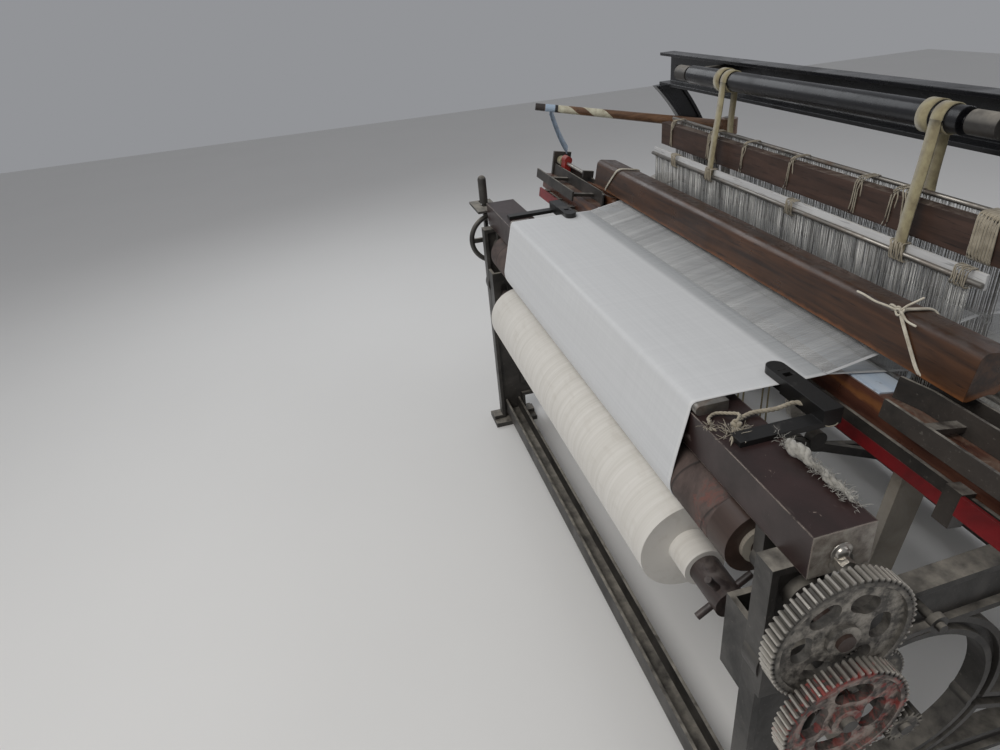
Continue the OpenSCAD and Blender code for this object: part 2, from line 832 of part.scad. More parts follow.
module shuttle_box() {
    on_sley() {
        translate([box_in + 22, box_back, sley_top]) cube([box_out - 14 - box_in - 22, 8, 44]);
        translate([post_x, box_back, sley_top]) cube([24, 12, cap_bottom - sley_top]);
        translate([post_x - 20, 4, sley_top]) cube([64, 14, 44]);
        box_front_plate();
        box_end_plate();
        box_rail();
        difference() {
            translate([spindle_in - 12, spindle[0] - 14, sley_top + 44])
                cube([12, box_back + 8 - spindle[0] + 14, 24]);
            rod_x(spindle_in - 6, 20, spindle, spindle_r + fit);
        }
    }
}

// front plate of the box, with a mouth that opens towards the reed
module box_front_plate() {
    translate([0, 0, sley_top]) linear_extrude(box_h)
        polygon([[box_in + 10, box_front - 22], [box_in + 10, box_front - 16],
            [box_in + 64, box_front], [box_out - 14, box_front], [box_out - 14, box_front - 6],
            [box_in + 62, box_front - 6]]);
}

module box_end_plate() {
    difference() {
        translate([box_out - 14, box_front - 12, sley_top]) cube([14, box_w + 34, 86]);
        rod_x(box_out - 15, 16, spindle, spindle_r + fit);
    }
}

// flat bar that stands out in front of the box
module box_rail() {
    rail_y = -143;
    rail_in = post_x + 20;
    rail_out = box_out - 100;
    translate([rail_in, rail_y - 3, sley_top + 4]) cube([rail_out - rail_in, 6, 32]);
    for (x = [rail_in + 50, rail_out - 80]) translate([x, rail_y + 3, sley_top + 8])
        cube([20, box_front - 6 - rail_y - 3, 10]);
}

module shuttle_box_right() {
    color("#3a3431") shuttle_box();
}

module shuttle_box_left() {
    color("#3a3431") mirror([1, 0, 0]) shuttle_box();
}

module picker_spindles() {
    color("#8b8780") on_sley() both_sides()
        rod_x(spindle_in - 6, box_out - spindle_in + 4, spindle, spindle_r);
}

buffer_l = 38;

// leather rings threaded on the outer end of each spindle
module buffers() {
    color("#b08d57") on_sley() both_sides()
        translate([box_out - 14 - buffer_l, spindle[0], spindle[1]]) rotate([0, 90, 0])
            difference() {
                union() for (i = [0:4]) {
                    translate([0, 0, i * 7.6]) cylinder(h = 6, r = 17);
                    translate([0, 0, i * 7.6 + 5]) cylinder(h = 2.6, r = 15);
                }
                translate([0, 0, -1]) cylinder(h = buffer_l + 2, r = spindle_r + fit);
            }
}

picker_x = box_out - 14 - buffer_l - 6 - picker_l;

module picker() {
    on_sley() difference() {
        union() {
            translate([picker_x, spindle[0] - 13, sley_top + 4]) cube([picker_l, 26, 66]);
            rod_x(picker_x, picker_l, spindle + [0, 12], 15);
            translate([picker_x - 3, spindle[0] - 10, sley_top + 6]) cube([6, 20, 22]);
        }
        rod_x(picker_x - 1, picker_l + 2, spindle, spindle_r + 0.1);
    }
}

module picker_right() {
    color("#a33a30") picker();
}

module picker_left() {
    color("#a33a30") mirror([1, 0, 0]) picker();
}

// boat-shaped shuttle with steel tips and a well for the weft, in the left box
module shuttle() {
    body_l = shuttle_l - 70;
    mid_x = -(box_in + shuttle_l / 2 - 28);
    color("#a9794a") on_sley()
        translate([mid_x, box_back - 1 - shuttle_w / 2, race_r + 0.5]) difference() {
            union() {
                linear_extrude(shuttle_h) polygon([[-body_l / 2, -10], [-body_l / 2 + 26, -shuttle_w / 2],
                    [body_l / 2 - 26, -shuttle_w / 2], [body_l / 2, -10], [body_l / 2, 10],
                    [body_l / 2 - 26, shuttle_w / 2], [-body_l / 2 + 26, shuttle_w / 2],
                    [-body_l / 2, 10]]);
                for (s = [0, 1]) mirror([s, 0, 0]) translate([body_l / 2, 0, shuttle_h / 2])
                    rotate([0, 90, 0]) cylinder(h = 35, r1 = 10, r2 = 2.5);
            }
            translate([-80, -9, 6]) cube([160, 18, shuttle_h]);
            for (s = [-1, 1]) translate([s * 80, 0, 6]) cylinder(h = shuttle_h, r = 9);
        }
}

// leather band from each picking stick down to its picker
module picking_bands() {
    tip = stick_tip - [0, 0, 14];
    hook = [picker_x + 18, -221, 972];
    color("#7fa6c9") both_sides() strut(hook, tip) translate([-1.5, -10, 0])
        cube([3, 20, norm(tip - hook) - 2]);
}

module picking_shaft() {
    cone_end = [cone_x, bottom[0] + 3, bottom[1] + 88];
    hub = [pick_x, pick_y, cone_end[2]];
    reach = norm(cone_end - hub);
    translate([pick_x, pick_y, 362]) cylinder(h = pick_top_z + 30 - 362, r = pick_shaft_r);
    translate([pick_x, pick_y, 394 + fit]) cylinder(h = 12, r = 22);
    translate([pick_x, pick_y, cone_end[2] - 24]) cylinder(h = 48, r = 28);
    strut(hub, cone_end) {
        cylinder(h = reach, r = 11);
        translate([0, 0, reach - 44]) cylinder(h = 60, r1 = 18, r2 = cone_r - 2);
    }
}

module picking_shaft_right() {
    color("#5d5a55") picking_shaft();
}

module picking_shaft_left() {
    color("#5d5a55") mirror([1, 0, 0]) picking_shaft();
}

// tapered wooden stick, clamped on top of its shaft
module picking_stick() {
    root = [pick_x, pick_y, pick_top_z];
    reach = norm(stick_tip - root);
    difference() {
        union() {
            translate(root - [0, 0, 26]) cylinder(h = 52, r = 30);
            strut(root, stick_tip) translate([0, 0, 20]) cylinder(h = reach - 20, r1 = stick_r, r2 = 12);
        }
        translate(root - [0, 0, 60]) cylinder(h = 90.01, r = pick_shaft_r);
    }
}

module picking_stick_right() {
    color("#9c6c40") picking_stick();
}

module picking_stick_left() {
    color("#9c6c40") mirror([1, 0, 0]) picking_stick();
}

// each front strap starts here and its rear strap hangs on the side nearer the left frame
strap_xs = [-276, 419];
strap_w = 26;

// thick roller with slim journals; the rear straps wind on packing beside the front ones
module heald_roller() {
    color("#2b2b2c") {
        rod_x(-hanger_x + 14, 2 * hanger_x - 28, roller_axis, heald_roller_r);
        rod_x(-hanger_x - hanger_l, 2 * (hanger_x + hanger_l), roller_axis, heald_shaft_r);
        for (x = strap_xs) rod_x(x - strap_w - 8, strap_w + 6, roller_axis, rear_wrap_r);
    }
}

front_eye = fell_z - front_fall;
rear_eye = fell_z + rear_rise;

// wires between a top and a bottom rod, with a gap for each pair of warp strips
module heald_wires(y, eye) {
    bottom_z = eye - heald_h / 2;
    difference() {
        translate([-stave_l / 2, y - 1, bottom_z]) cube([stave_l, 2, heald_h]);
        dent_gaps() translate([0, y - 2, bottom_z + 12]) cube([strip_gap, 4, heald_h - 24]);
    }
    for (z = [bottom_z, bottom_z + heald_h]) rod_x(-stave_l / 2, stave_l, [y, z], 5);
}

module front_healds() {
    color("#7d7f80") heald_wires(front_heald_y, front_eye);
}

module rear_healds() {
    color("#7d7f80") heald_wires(rear_heald_y, rear_eye);
}

module front_laths() {
    color("#cfc9bd") for (z = [front_eye - heald_h / 2 - 18, front_eye + heald_h / 2 - 10])
        translate([-stave_l / 2, front_heald_y + 5.4, z]) cube([stave_l, 6, 28]);
}

// wooden staves in front of the rear healds, with hooks that hold the rods
module rear_staves() {
    stave_y = rear_heald_y - 40;
    color("#4a2c20") for (z = [rear_eye - heald_h / 2 + 5, rear_eye + heald_h / 2 - 72]) {
        translate([-stave_l / 2, stave_y, z]) cube([stave_l, 26, 65]);
        for (x = [-500:250:500]) translate([x, stave_y + 26, z + 24]) cube([6, 12.6, 12]);
    }
}

// strap from the side of the roller at line y down to the rod of its healds
module heald_strap(x, y, rod) {
    along_x(x, strap_w) polygon([[rod[0] - 1.5, rod[1] + 5.3], [rod[0] + 1.5, rod[1] + 5.3],
        [y + 1.5, roller_axis[1]], [y - 1.5, roller_axis[1]]]);
}

module front_straps() {
    color("#b79a6b") {
        for (x = strap_xs) heald_strap(x, roller_axis[0] - heald_roller_r - 1.8,
            [front_heald_y, front_eye + heald_h / 2]);
        for (x = [-46, -20]) translate([x, front_heald_y + 8.4, 284])
            cylinder(h = front_eye - heald_h / 2 - 18.3 - 284, r = 3);
    }
}

module rear_straps() {
    color("#b79a6b") {
        for (x = strap_xs) heald_strap(x - strap_w - 5, roller_axis[0] + rear_wrap_r + 1.8,
            [rear_heald_y, rear_eye + heald_h / 2]);
        for (x = [20, 46]) translate([x, rear_heald_y, 346])
            cylinder(h = rear_eye - heald_h / 2 - 5.3 - 346, r = 3);
    }
}

treadle_high = 22.5;
front_lift = 3.405 * heald_roller_r;
front_treadle_a = treadle_high - front_lift / 537 * 57.3;

// treadle with the bowl that runs under its tappet
module treadle(x, a) {
    translate([0, treadle_pin[0], treadle_pin[1]]) rotate([-a, 0, 0]) difference() {
        union() {
            along_x(x - 10, 20) {
                bar2([0, 0], [-580, 0], 28);
                circle(24);
                bar2([-338, 0], [-338, 24], 30);
            }
            rod_x(x - 16, 32, [-338, 24], 28);
        }
        rod_x(x - 20, 40, [0, 0], 12 + fit);
    }
}

module front_treadle() {
    color("#504d48") treadle(-33, front_treadle_a);
}

module rear_treadle() {
    color("#504d48") treadle(33, treadle_high);
}

module emery_roller() {
    color("#2f2622") {
        rod_x(-emery_l / 2, emery_l, emery, emery_r);
        rod_x(-hand_wheel_x - 4, hand_wheel_x + 4 + wheel_x + wheel_t + 6, emery, emery_shaft_r);
        both_sides() rod_x(emery_l / 2, 8, emery, 34);
    }
}

// small oval windows all round the web
module beam_wheel() {
    windows = 6;
    color("#4a423c") on_shaft(wheel_x, emery, carrier_angle) difference() {
        spoked_gear(take_up_module, beam_wheel_teeth, wheel_t, 26, emery_shaft_r, 0, 1);
        for (i = [0:windows - 1]) rotate(360 * (i + 0.5) / windows) for (s = [-8:4:8]) rotate(s)
            translate([61, 0, -1]) cylinder(h = wheel_t + 2, r = 16);
    }
}

module carrier_wheel() {
    difference() {
        color("#5a3a33") union() {
            on_shaft(carrier_x, carrier_c, ratchet_angle) difference() {
                spoked_gear(take_up_module, carrier_teeth, wheel_t, 24, 12 + fit, 0, 1);
                for (i = [0:3]) rotate(90 * i + 20) for (s = [-15:7.5:15]) rotate(s)
                    translate([51, 0, -1]) cylinder(h = wheel_t + 2, r = 18);
            }
            on_shaft(wheel_x - 2, carrier_c, carrier_angle + 180 + 180 / pinion_teeth)
                linear_extrude(carrier_x - wheel_x + 4) gear2(take_up_module, pinion_teeth);
        }
        rod_x(wheel_x - 10, 80, carrier_c, 12 + fit);
    }
}

// saw teeth, cut so that the pawl pushes them one way
module ratchet2() {
    polygon([for (i = [0:ratchet_teeth - 1]) for (k = [0, 1]) let (a = 360 * (i + 0.1 * k) / ratchet_teeth)
        (ratchet_r - 6 * k) * [cos(a), sin(a)]]);
}

module ratchet_wheel() {
    color("#45423e") difference() {
        union() {
            on_shaft(ratchet_x, ratchet_c, 0) linear_extrude(14) ratchet2();
            rod_x(ratchet_x + 13, carrier_x - ratchet_x - 12, ratchet_c, 17);
            on_shaft(carrier_x, ratchet_c, ratchet_angle + 180 + 180 / change_teeth)
                linear_extrude(wheel_t) gear2(take_up_module, change_teeth);
        }
        rod_x(ratchet_x - 1, carrier_x + wheel_t + 2 - ratchet_x, ratchet_c, 10 + fit);
        for (i = [0:4]) on_shaft(ratchet_x - 1, ratchet_c, 72 * i)
            translate([40, 0, 0]) cylinder(h = 16, r = 13);
    }
}

module take_up_pawl() {
    tip = ratchet_c + (ratchet_r + 7) * [cos(72), sin(72)];
    color("#4f4c47") along_x(ratchet_x + 1, 12) difference() {
        union() {
            translate(pawl_pin) circle(17);
            bar2(pawl_pin, tip, 10);
        }
        translate(pawl_pin) circle(8 + fit);
    }
}

// spoked hand wheel on the left end of the emery roller
module hand_wheel() {
    color("#3a3836") on_shaft(-hand_wheel_x, emery, 0) difference() {
        union() {
            translate([0, 0, 9]) rotate_extrude($fn = 96) translate([86, 0]) circle(9, $fn = 24);
            cylinder(h = 22, r = 24);
            for (i = [0:3]) rotate(90 * i) translate([18, -8, 4]) cube([62, 16, 10]);
        }
        translate([0, 0, -1]) cylinder(h = 24, r = emery_shaft_r);
    }
}

core_r = 30;
core_reach = 730;

// core of the cloth roll, with gudgeons and the cross bars that wind it by hand
module cloth_roller() {
    bar_l = 124;
    color("#3a3330") {
        rod_x(-core_reach, 2 * core_reach, cloth_core, core_r);
        both_sides() rod_x(core_reach, 62, cloth_core, 12);
        for (a = [0, 90]) translate([core_reach - 22, cloth_core[0], cloth_core[1]]) rotate([a + 35, 0, 0])
            translate([0, 0, -bar_l / 2]) cylinder(h = bar_l, r = 7);
    }
}

// the roll of cloth, with the leading cloth wound wider on a neck at each end
module cloth_roll() {
    side = cloth_w / 2 + 6;
    neck = min(62, core_reach - 40 - side);
    color("#e3e0d6") difference() {
        union() {
            rod_x(-side, 2 * side, cloth_core, cloth_roll_r);
            rod_x(-side - neck, 2 * (side + neck), cloth_core, core_r + 10);
        }
        rod_x(-side - neck - 1, 2 * (side + neck + 1), cloth_core, core_r);
    }
}

// weighted levers on one cross shaft, which press the cloth roll against the emery roller
module roller_levers() {
    rest = cloth_core - [4, 12 + seat + 17];
    x = 754;
    color("#4a4641") {
        rod_x(-web_out - 12, 2 * web_out + 24, lever_pivot, 10);
        both_sides() {
            along_x(x, 12) difference() {
                union() {
                    translate(lever_pivot) circle(24);
                    bar2(lever_pivot, rest, 28);
                    bar2(lever_pivot, [-352, 560], 24);
                }
                bar2(lever_pivot + [40, -10], [-396, 571.5], 8);
            }
            rod_x(x - 22, 56, [-352, 530], 34);
        }
    }
}

// flanged beam of warp yarn with brake ruffles
module warp_beam() {
    yarn_reach = 600;
    ruffle_x = yarn_reach + 40;
    color("#8f877a") {
        rod_x(-yarn_reach, 2 * yarn_reach, warp_core, yarn_r);
        both_sides() {
            rod_x(yarn_reach, 12, warp_core, 193.5);
            rod_x(yarn_reach + 12, 28, warp_core, 60);
            rod_x(ruffle_x, 50, warp_core, 92);
            for (s = [0, 44]) rod_x(ruffle_x + s, 6, warp_core, 100);
            rod_x(ruffle_x + 50, frame_x + 36 - ruffle_x - 50, warp_core, 20);
        }
    }
}

// upright lever with a round grip, swung sideways to move the belt
module starting_handle() {
    x = handle_x;
    y = front_y - 16;
    color("#3c3936") difference() {
        union() {
            translate([x - 12, y, 300]) cube([24, 12, 570]);
            translate([x, y, 300]) rotate([-90, 0, 0]) cylinder(h = 12, r = 24);
            translate([x, y + 6, 862]) cylinder(h = 84, r = 15);
            translate([x, y + 6, 946]) sphere(15);
        }
        translate([x, y - 1, 300]) rotate([-90, 0, 0]) cylinder(h = 14, r = 10 + fit);
    }
}

module belt_fork() {
    mid = -pulley_x - 1.5 * pulley_w - 2;
    color("#55524d") {
        rod_x(-1040, 260, fork_rod, 9);
        for (s = [-34, 34]) translate([mid + s, fork_rod[0], fork_rod[1]]) cylinder(h = 170, r = 6);
        translate([mid - 40, fork_rod[0] - 11, fork_rod[1] - 11]) cube([80, 22, 22]);
    }
}

color("#33312f") mirror([1, 0, 0]) side_frame();  // side_frame_left
color("#33312f") side_frame();  // side_frame_right
breast_beam();
breast_rail();
cross_rails();
top_rail();
rail_arches();
shaft_bearings();
frame_bolts();
temples();
woven_cloth();
upper_warp();
lower_warp();
outer_brackets();
crankshaft();
crank_gear();
fast_pulley();
loose_pulley();
crank_arms();
bottom_shaft();
bottom_gear();
tappets();
sley_swords();
sley_beam();
race_strip();
reed();
reed_cap();
shuttle_box_left();
shuttle_box_right();
picker_spindles();
buffers();
picker_left();
picker_right();
shuttle();
picking_bands();
picking_shaft_left();
picking_shaft_right();
picking_stick_left();
picking_stick_right();
heald_roller();
front_healds();
front_laths();
front_straps();
rear_healds();
rear_staves();
rear_straps();
front_treadle();
rear_treadle();
emery_roller();
beam_wheel();
hand_wheel();
carrier_wheel();
ratchet_wheel();
take_up_pawl();
cloth_roller();
cloth_roll();
roller_levers();
warp_beam();
starting_handle();
belt_fork();
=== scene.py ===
import json
import math

import bpy
import numpy as np
from mathutils import Matrix, Vector


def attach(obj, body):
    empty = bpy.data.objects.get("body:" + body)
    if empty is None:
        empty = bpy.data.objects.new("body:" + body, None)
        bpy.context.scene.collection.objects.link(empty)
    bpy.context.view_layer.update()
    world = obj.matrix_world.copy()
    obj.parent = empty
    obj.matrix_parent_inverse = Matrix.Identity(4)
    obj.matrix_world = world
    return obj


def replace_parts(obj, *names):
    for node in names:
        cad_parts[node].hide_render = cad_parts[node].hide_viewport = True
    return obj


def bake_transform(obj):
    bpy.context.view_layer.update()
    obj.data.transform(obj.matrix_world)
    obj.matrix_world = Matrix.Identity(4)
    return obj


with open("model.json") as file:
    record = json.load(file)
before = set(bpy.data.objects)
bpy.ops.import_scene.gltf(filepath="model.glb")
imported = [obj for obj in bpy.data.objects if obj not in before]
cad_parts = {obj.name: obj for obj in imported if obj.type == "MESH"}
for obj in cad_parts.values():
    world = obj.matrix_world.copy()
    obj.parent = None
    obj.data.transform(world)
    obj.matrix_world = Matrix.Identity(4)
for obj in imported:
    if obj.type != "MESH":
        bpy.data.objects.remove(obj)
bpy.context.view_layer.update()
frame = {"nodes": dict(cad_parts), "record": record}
record = frame["record"]

# places shared with the solids, in metres, as (y, z) in the upright plane or (x, y, z), radii and lengths
place = {
    "emery": (-0.580, 0.737), "emeryR": 0.060,
    "beamY": -0.607, "beamTop": 0.880, "railH": 0.019,
    "fell": (-0.3435, 0.895), "clothW": 1.144,
    "frontHeald": (-0.107, 0.850), "rearHeald": (-0.038, 0.947), "healdH": 0.370, "staveL": 1.236,
    "restBar": (0.545, 0.860), "restR": 0.028, "warpCore": (0.505, 0.450), "yarnR": 0.150,
    "roller": (-0.060, 1.273), "rollerR": 0.024, "packR": 0.0267,
    "rock": (-0.340, 0.130), "lean": math.radians(9.8),
    "sleyTop": 0.746, "reedL": 1.240, "strapX": (-0.276, 0.419), "strapW": 0.026,
    "bandHook": (1.120, -0.221, 0.972),
    "stickRoot": (0.770, 0.252, 1.050), "stickTip": (0.950, -0.390, 1.170),
}

# camera: the eye stands off the right end of the loom and looks down along it
view = {
    "eye": (1.454, -1.120, 1.540),
    "right": (0.2550, 0.9629, -0.0878),
    "up": (-0.4580, 0.2004, 0.8660),
    "back": (0.8515, -0.1808, 0.4924),
    "lens": 24.6, "sensor": 36.0, "clip": (0.05, 60.0),
}


def makeCamera():
    data = bpy.data.cameras.new("loomCamera")
    data.lens = view["lens"]
    data.sensor_width = view["sensor"]
    data.clip_start, data.clip_end = view["clip"]
    camera = bpy.data.objects.new("loomCamera", data)
    bpy.context.scene.collection.objects.link(camera)
    right, up, back = (np.array(view[k], float) for k in ("right", "up", "back"))
    right /= np.linalg.norm(right)
    back /= np.linalg.norm(back)
    up = np.cross(back, right)
    turn = np.column_stack([right, up / np.linalg.norm(up), back])
    camera.matrix_world = Matrix.Translation(view["eye"]) @ Matrix(turn.tolist()).to_4x4()
    bpy.context.scene.camera = camera


makeCamera()


# shader building blocks

class Shader:
    # One material's node tree, with short calls for the nodes that the finishes share.

    def __init__(self, name, roughness=0.5, metallic=0.0, specular=0.5, sheen=0.0, coat=0.0):
        self.material = bpy.data.materials.new(name)
        self.material.use_nodes = True
        self.tree = self.material.node_tree
        self.body = self.tree.nodes["Principled BSDF"]
        for key, value in {"Roughness": roughness, "Metallic": metallic, "Specular IOR Level": specular,
                           "Sheen Weight": sheen, "Coat Weight": coat}.items():
            self.body.inputs[key].default_value = value
        self.coords = self.node("ShaderNodeTexCoord")
        self.place = self.coords.outputs["Object"]

    def node(self, kind, inputs=(), **settings):
        # A node with its settings, and then its inputs by name or number.
        made = self.tree.nodes.new(kind)
        for key, value in settings.items():
            setattr(made, key, value)
        for key, value in dict(inputs).items():
            self.feed(made.inputs[key], value)
        return made

    def feed(self, socket, value):
        if isinstance(value, bpy.types.NodeSocket):
            self.tree.links.new(value, socket)
        elif isinstance(value, (tuple, list)) and len(value) == 3 and socket.type == "RGBA":
            socket.default_value = (*value, 1.0)
        else:
            socket.default_value = value

    def math(self, how, first, second=0.0):
        return self.node("ShaderNodeMath", {0: first, 1: second}, operation=how).outputs[0]

    def plus(self, first, second):
        return self.math("ADD", first, second)

    def minus(self, first, second):
        return self.math("SUBTRACT", first, second)

    def times(self, first, second):
        return self.math("MULTIPLY", first, second)

    def stretch(self, scale=(1, 1, 1), turn=(0, 0, 0), source=None):
        inputs = {"Scale": scale, "Rotation": turn, "Vector": source or self.place}
        return self.node("ShaderNodeMapping", inputs).outputs[0]

    def noise(self, scale, detail=4.0, rough=0.55, vector=None, warp=0.0):
        inputs = {"Vector": vector or self.place, "Scale": scale, "Detail": detail, "Roughness": rough,
                  "Distortion": warp}
        return self.node("ShaderNodeTexNoise", inputs).outputs["Fac"]

    def step(self, value, low, high, to=(0.0, 1.0)):
        inputs = {"Value": value, "From Min": low, "From Max": high, "To Min": to[0], "To Max": to[1]}
        return self.node("ShaderNodeMapRange", inputs, clamp=True).outputs["Result"]

    def mix(self, amount, first, second):
        inputs = {"Factor": amount, "A": first, "B": second}
        return self.node("ShaderNodeMix", inputs, data_type="RGBA").outputs["Result"]

    def axis(self, which, source=None):
        return self.node("ShaderNodeSeparateXYZ", {0: source or self.place}).outputs[which]

    def facing(self, which):
        return self.axis(which, self.coords.outputs["Normal"])

    def bump(self, height, strength=0.3, distance=0.001, normal=None):
        inputs = {"Strength": strength, "Distance": distance, "Height": height}
        if normal is not None:
            inputs["Normal"] = normal
        return self.node("ShaderNodeBump", inputs).outputs[0]

    def rounded(self, radius):
        return self.node("ShaderNodeBevel", {"Radius": radius}, samples=4).outputs[0]

    def worn(self, radius):
        # how far the rounded normal turns away from the face's own: 1 on a sharp edge, 0 on an open face
        flat = self.node("ShaderNodeNewGeometry").outputs["Normal"]
        dot = self.node("ShaderNodeVectorMath", {0: self.rounded(radius), 1: flat}, operation="DOT_PRODUCT")
        return self.step(dot.outputs["Value"], 0.985, 0.90)

    def about(self, centre):
        # steps (y, z) away from an axle along X, and the distance: the root of y squared plus z squared
        y = self.minus(self.axis("Y"), centre[0])
        z = self.minus(self.axis("Z"), centre[1])
        return y, z, self.math("SQRT", self.plus(self.times(y, y), self.times(z, z)))

    def upSley(self):
        # height above the rocking shaft, square to the sley's lean
        y = self.minus(self.axis("Y"), place["rock"][0])
        z = self.minus(self.axis("Z"), place["rock"][1])
        return self.plus(self.times(y, math.sin(place["lean"])), self.times(z, math.cos(place["lean"])))

    def finish(self, colour, roughness=None, normal=None, metallic=None):
        for key, value in {"Base Color": colour, "Roughness": roughness, "Metallic": metallic,
                           "Normal": normal}.items():
            if value is not None:
                self.feed(self.body.inputs[key], value)
        return self.material


def castIron(name, paint, dust, oil=(0.010, 0.009, 0.008), dustiness=0.5, edge=0.0012, gloss=0.45, chip=None):
    # Painted casting: paint mottled with oil and chipped in places, and lint on the faces that look up.
    s = Shader(name, roughness=gloss)
    blotch = s.noise(9.0, 6.0, 0.62, warp=0.6)
    grime = s.noise(34.0, 5.0, 0.6)
    colour = s.mix(s.step(blotch, 0.35, 0.68), paint, oil)
    if chip is not None:
        chips = s.step(s.noise(55.0, 5.0, 0.7, warp=1.2), 0.62, 0.70)
        colour = s.mix(chips, colour, chip)
    up = s.step(s.facing("Z"), 0.15, 0.95)
    lint = s.times(up, s.step(s.plus(blotch, grime), 1.25 - dustiness, 1.5 - 0.5 * dustiness))
    specks = s.step(s.noise(120.0, 3.0, 0.7), 0.66 - 0.08 * dustiness, 0.74)
    dirty = s.math("MAXIMUM", lint, s.times(specks, 0.45 * dustiness))
    colour = s.mix(s.times(dirty, 0.8), colour, dust)
    rough = s.step(s.plus(s.times(dirty, 0.5), s.times(blotch, 0.5)), 0.1, 0.8, (gloss - 0.12, 0.92))
    normal = s.bump(s.plus(grime, s.times(specks, 0.4)), 0.35, 0.0012, s.rounded(edge))
    return s.finish(colour, rough, normal)


def bareSteel(name, colour, gloss=0.35, rust=(0.10, 0.055, 0.03), rusty=0.3, edge=0.0008):
    # Turned or drawn steel: fine streaks, brown film in patches.
    s = Shader(name, roughness=gloss, metallic=0.85)
    film = s.step(s.noise(16.0, 6.0, 0.65, warp=0.8), 0.66 - 0.25 * rusty, 0.80)
    streaks = s.noise(60.0, 4.0, 0.6, s.stretch((0.15, 1.0, 1.0)))
    base = s.mix(s.step(streaks, 0.3, 0.7), colour, tuple(0.62 * c for c in colour))
    return s.finish(s.mix(film, base, rust), s.step(film, 0, 1, (gloss, 0.75)),
                    s.bump(streaks, 0.15, 0.0005, s.rounded(edge)), s.step(film, 0, 1, (0.85, 0.1)))


def gearIron(name, centre, tipR, paint, dust, chip=None):
    # Cast wheel: the teeth are rubbed bright towards their tips, the web holds grease and pale dust.
    s = Shader(name, roughness=0.5)
    reach = s.about(centre)[2]
    tips = s.step(reach, tipR - 0.0055, tipR - 0.0005)
    blotch = s.noise(22.0, 6.0, 0.65, warp=0.7)
    grime = s.noise(70.0, 4.0, 0.6)
    colour = s.mix(s.step(blotch, 0.38, 0.66), paint, (0.016, 0.014, 0.012))
    if chip is not None:
        colour = s.mix(s.step(s.noise(30.0, 4.0, 0.6, warp=1.5), 0.50, 0.58), colour, chip)
    side = s.step(s.facing("X"), 0.2, 0.9)
    settled = s.times(s.step(s.plus(blotch, grime), 0.86, 1.18), s.math("MAXIMUM", side, 0.35))
    web = s.times(settled, s.step(reach, tipR - 0.006, tipR - 0.014))
    colour = s.mix(s.times(web, 0.85), colour, dust)
    bright = s.times(tips, s.step(grime, 0.25, 0.5, (0.45, 1.0)))
    colour = s.mix(bright, colour, (0.50, 0.47, 0.42))
    return s.finish(colour, s.step(bright, 0, 1, (0.62, 0.32)), s.bump(grime, 0.35, 0.001, s.rounded(0.0012)),
                    s.times(bright, 0.75))


def woodFinish(name, dark, light, grain="X", gloss=0.35, coat=0.0, worn=None, dust=None, edge=0.0015):
    # Timber: long streaks of grain, varnish or oil over them, pale dust on top.
    s = Shader(name, roughness=gloss, coat=coat)
    s.body.inputs["Coat Roughness"].default_value = 0.22
    scale = {"X": (0.06, 1.0, 1.0), "Y": (1.0, 0.06, 1.0), "Z": (1.0, 1.0, 0.06)}[grain]
    streaks = s.noise(58.0, 6.0, 0.6, s.stretch(scale), warp=0.5)
    pores = s.noise(240.0, 3.0, 0.6, s.stretch(scale))
    colour = s.mix(s.step(streaks, 0.35, 0.65), dark, light)
    colour = s.mix(s.step(pores, 0.60, 0.74), colour, tuple(0.45 * c for c in dark))
    rough = s.step(s.noise(14.0, 4.0, 0.6), 0.3, 0.7, (gloss - 0.08, gloss + 0.18))
    if worn is not None:
        colour = worn(s, colour)
    if dust is not None:
        settled = s.times(s.step(s.facing("Z"), 0.5, 0.98),
                          s.step(s.noise(26.0, 6.0, 0.65, warp=0.8), 0.42, 0.66))
        colour = s.mix(s.times(settled, 0.75), colour, dust)
        rough = s.math("MAXIMUM", rough, s.times(settled, 0.85))
    return s.finish(colour, rough, s.bump(s.plus(streaks, pores), 0.22, 0.0006, s.rounded(edge)))


def cordFinish(name, colour, stain, twist):
    # Cord, webbing and leather: fibres in the bump, stained in patches.
    s = Shader(name, roughness=0.95, specular=0.1, sheen=0.3)
    fibre = s.noise(twist, 3.0, 0.7)
    patch = s.noise(45.0, 4.0, 0.6)
    return s.finish(s.mix(s.step(patch, 0.4, 0.72), colour, stain), None, s.bump(fibre, 0.7, 0.0006))


lintColour = (0.36, 0.33, 0.28)
paleDust = (0.30, 0.27, 0.22)
woodDust = (0.20, 0.15, 0.11)
darkIron = (0.05, 0.045, 0.04)

# toothed wheels: centre (y, z) and tip radius
gears = {
    "crank": ((0.122, 0.720), 0.1074), "bottom": ((0.122, 0.414), 0.2094), "beam": (place["emery"], 0.1116),
    "carrier": ((-0.575, 0.6023), 0.1011), "ratchet": ((-0.4659, 0.5393), 0.070),
}


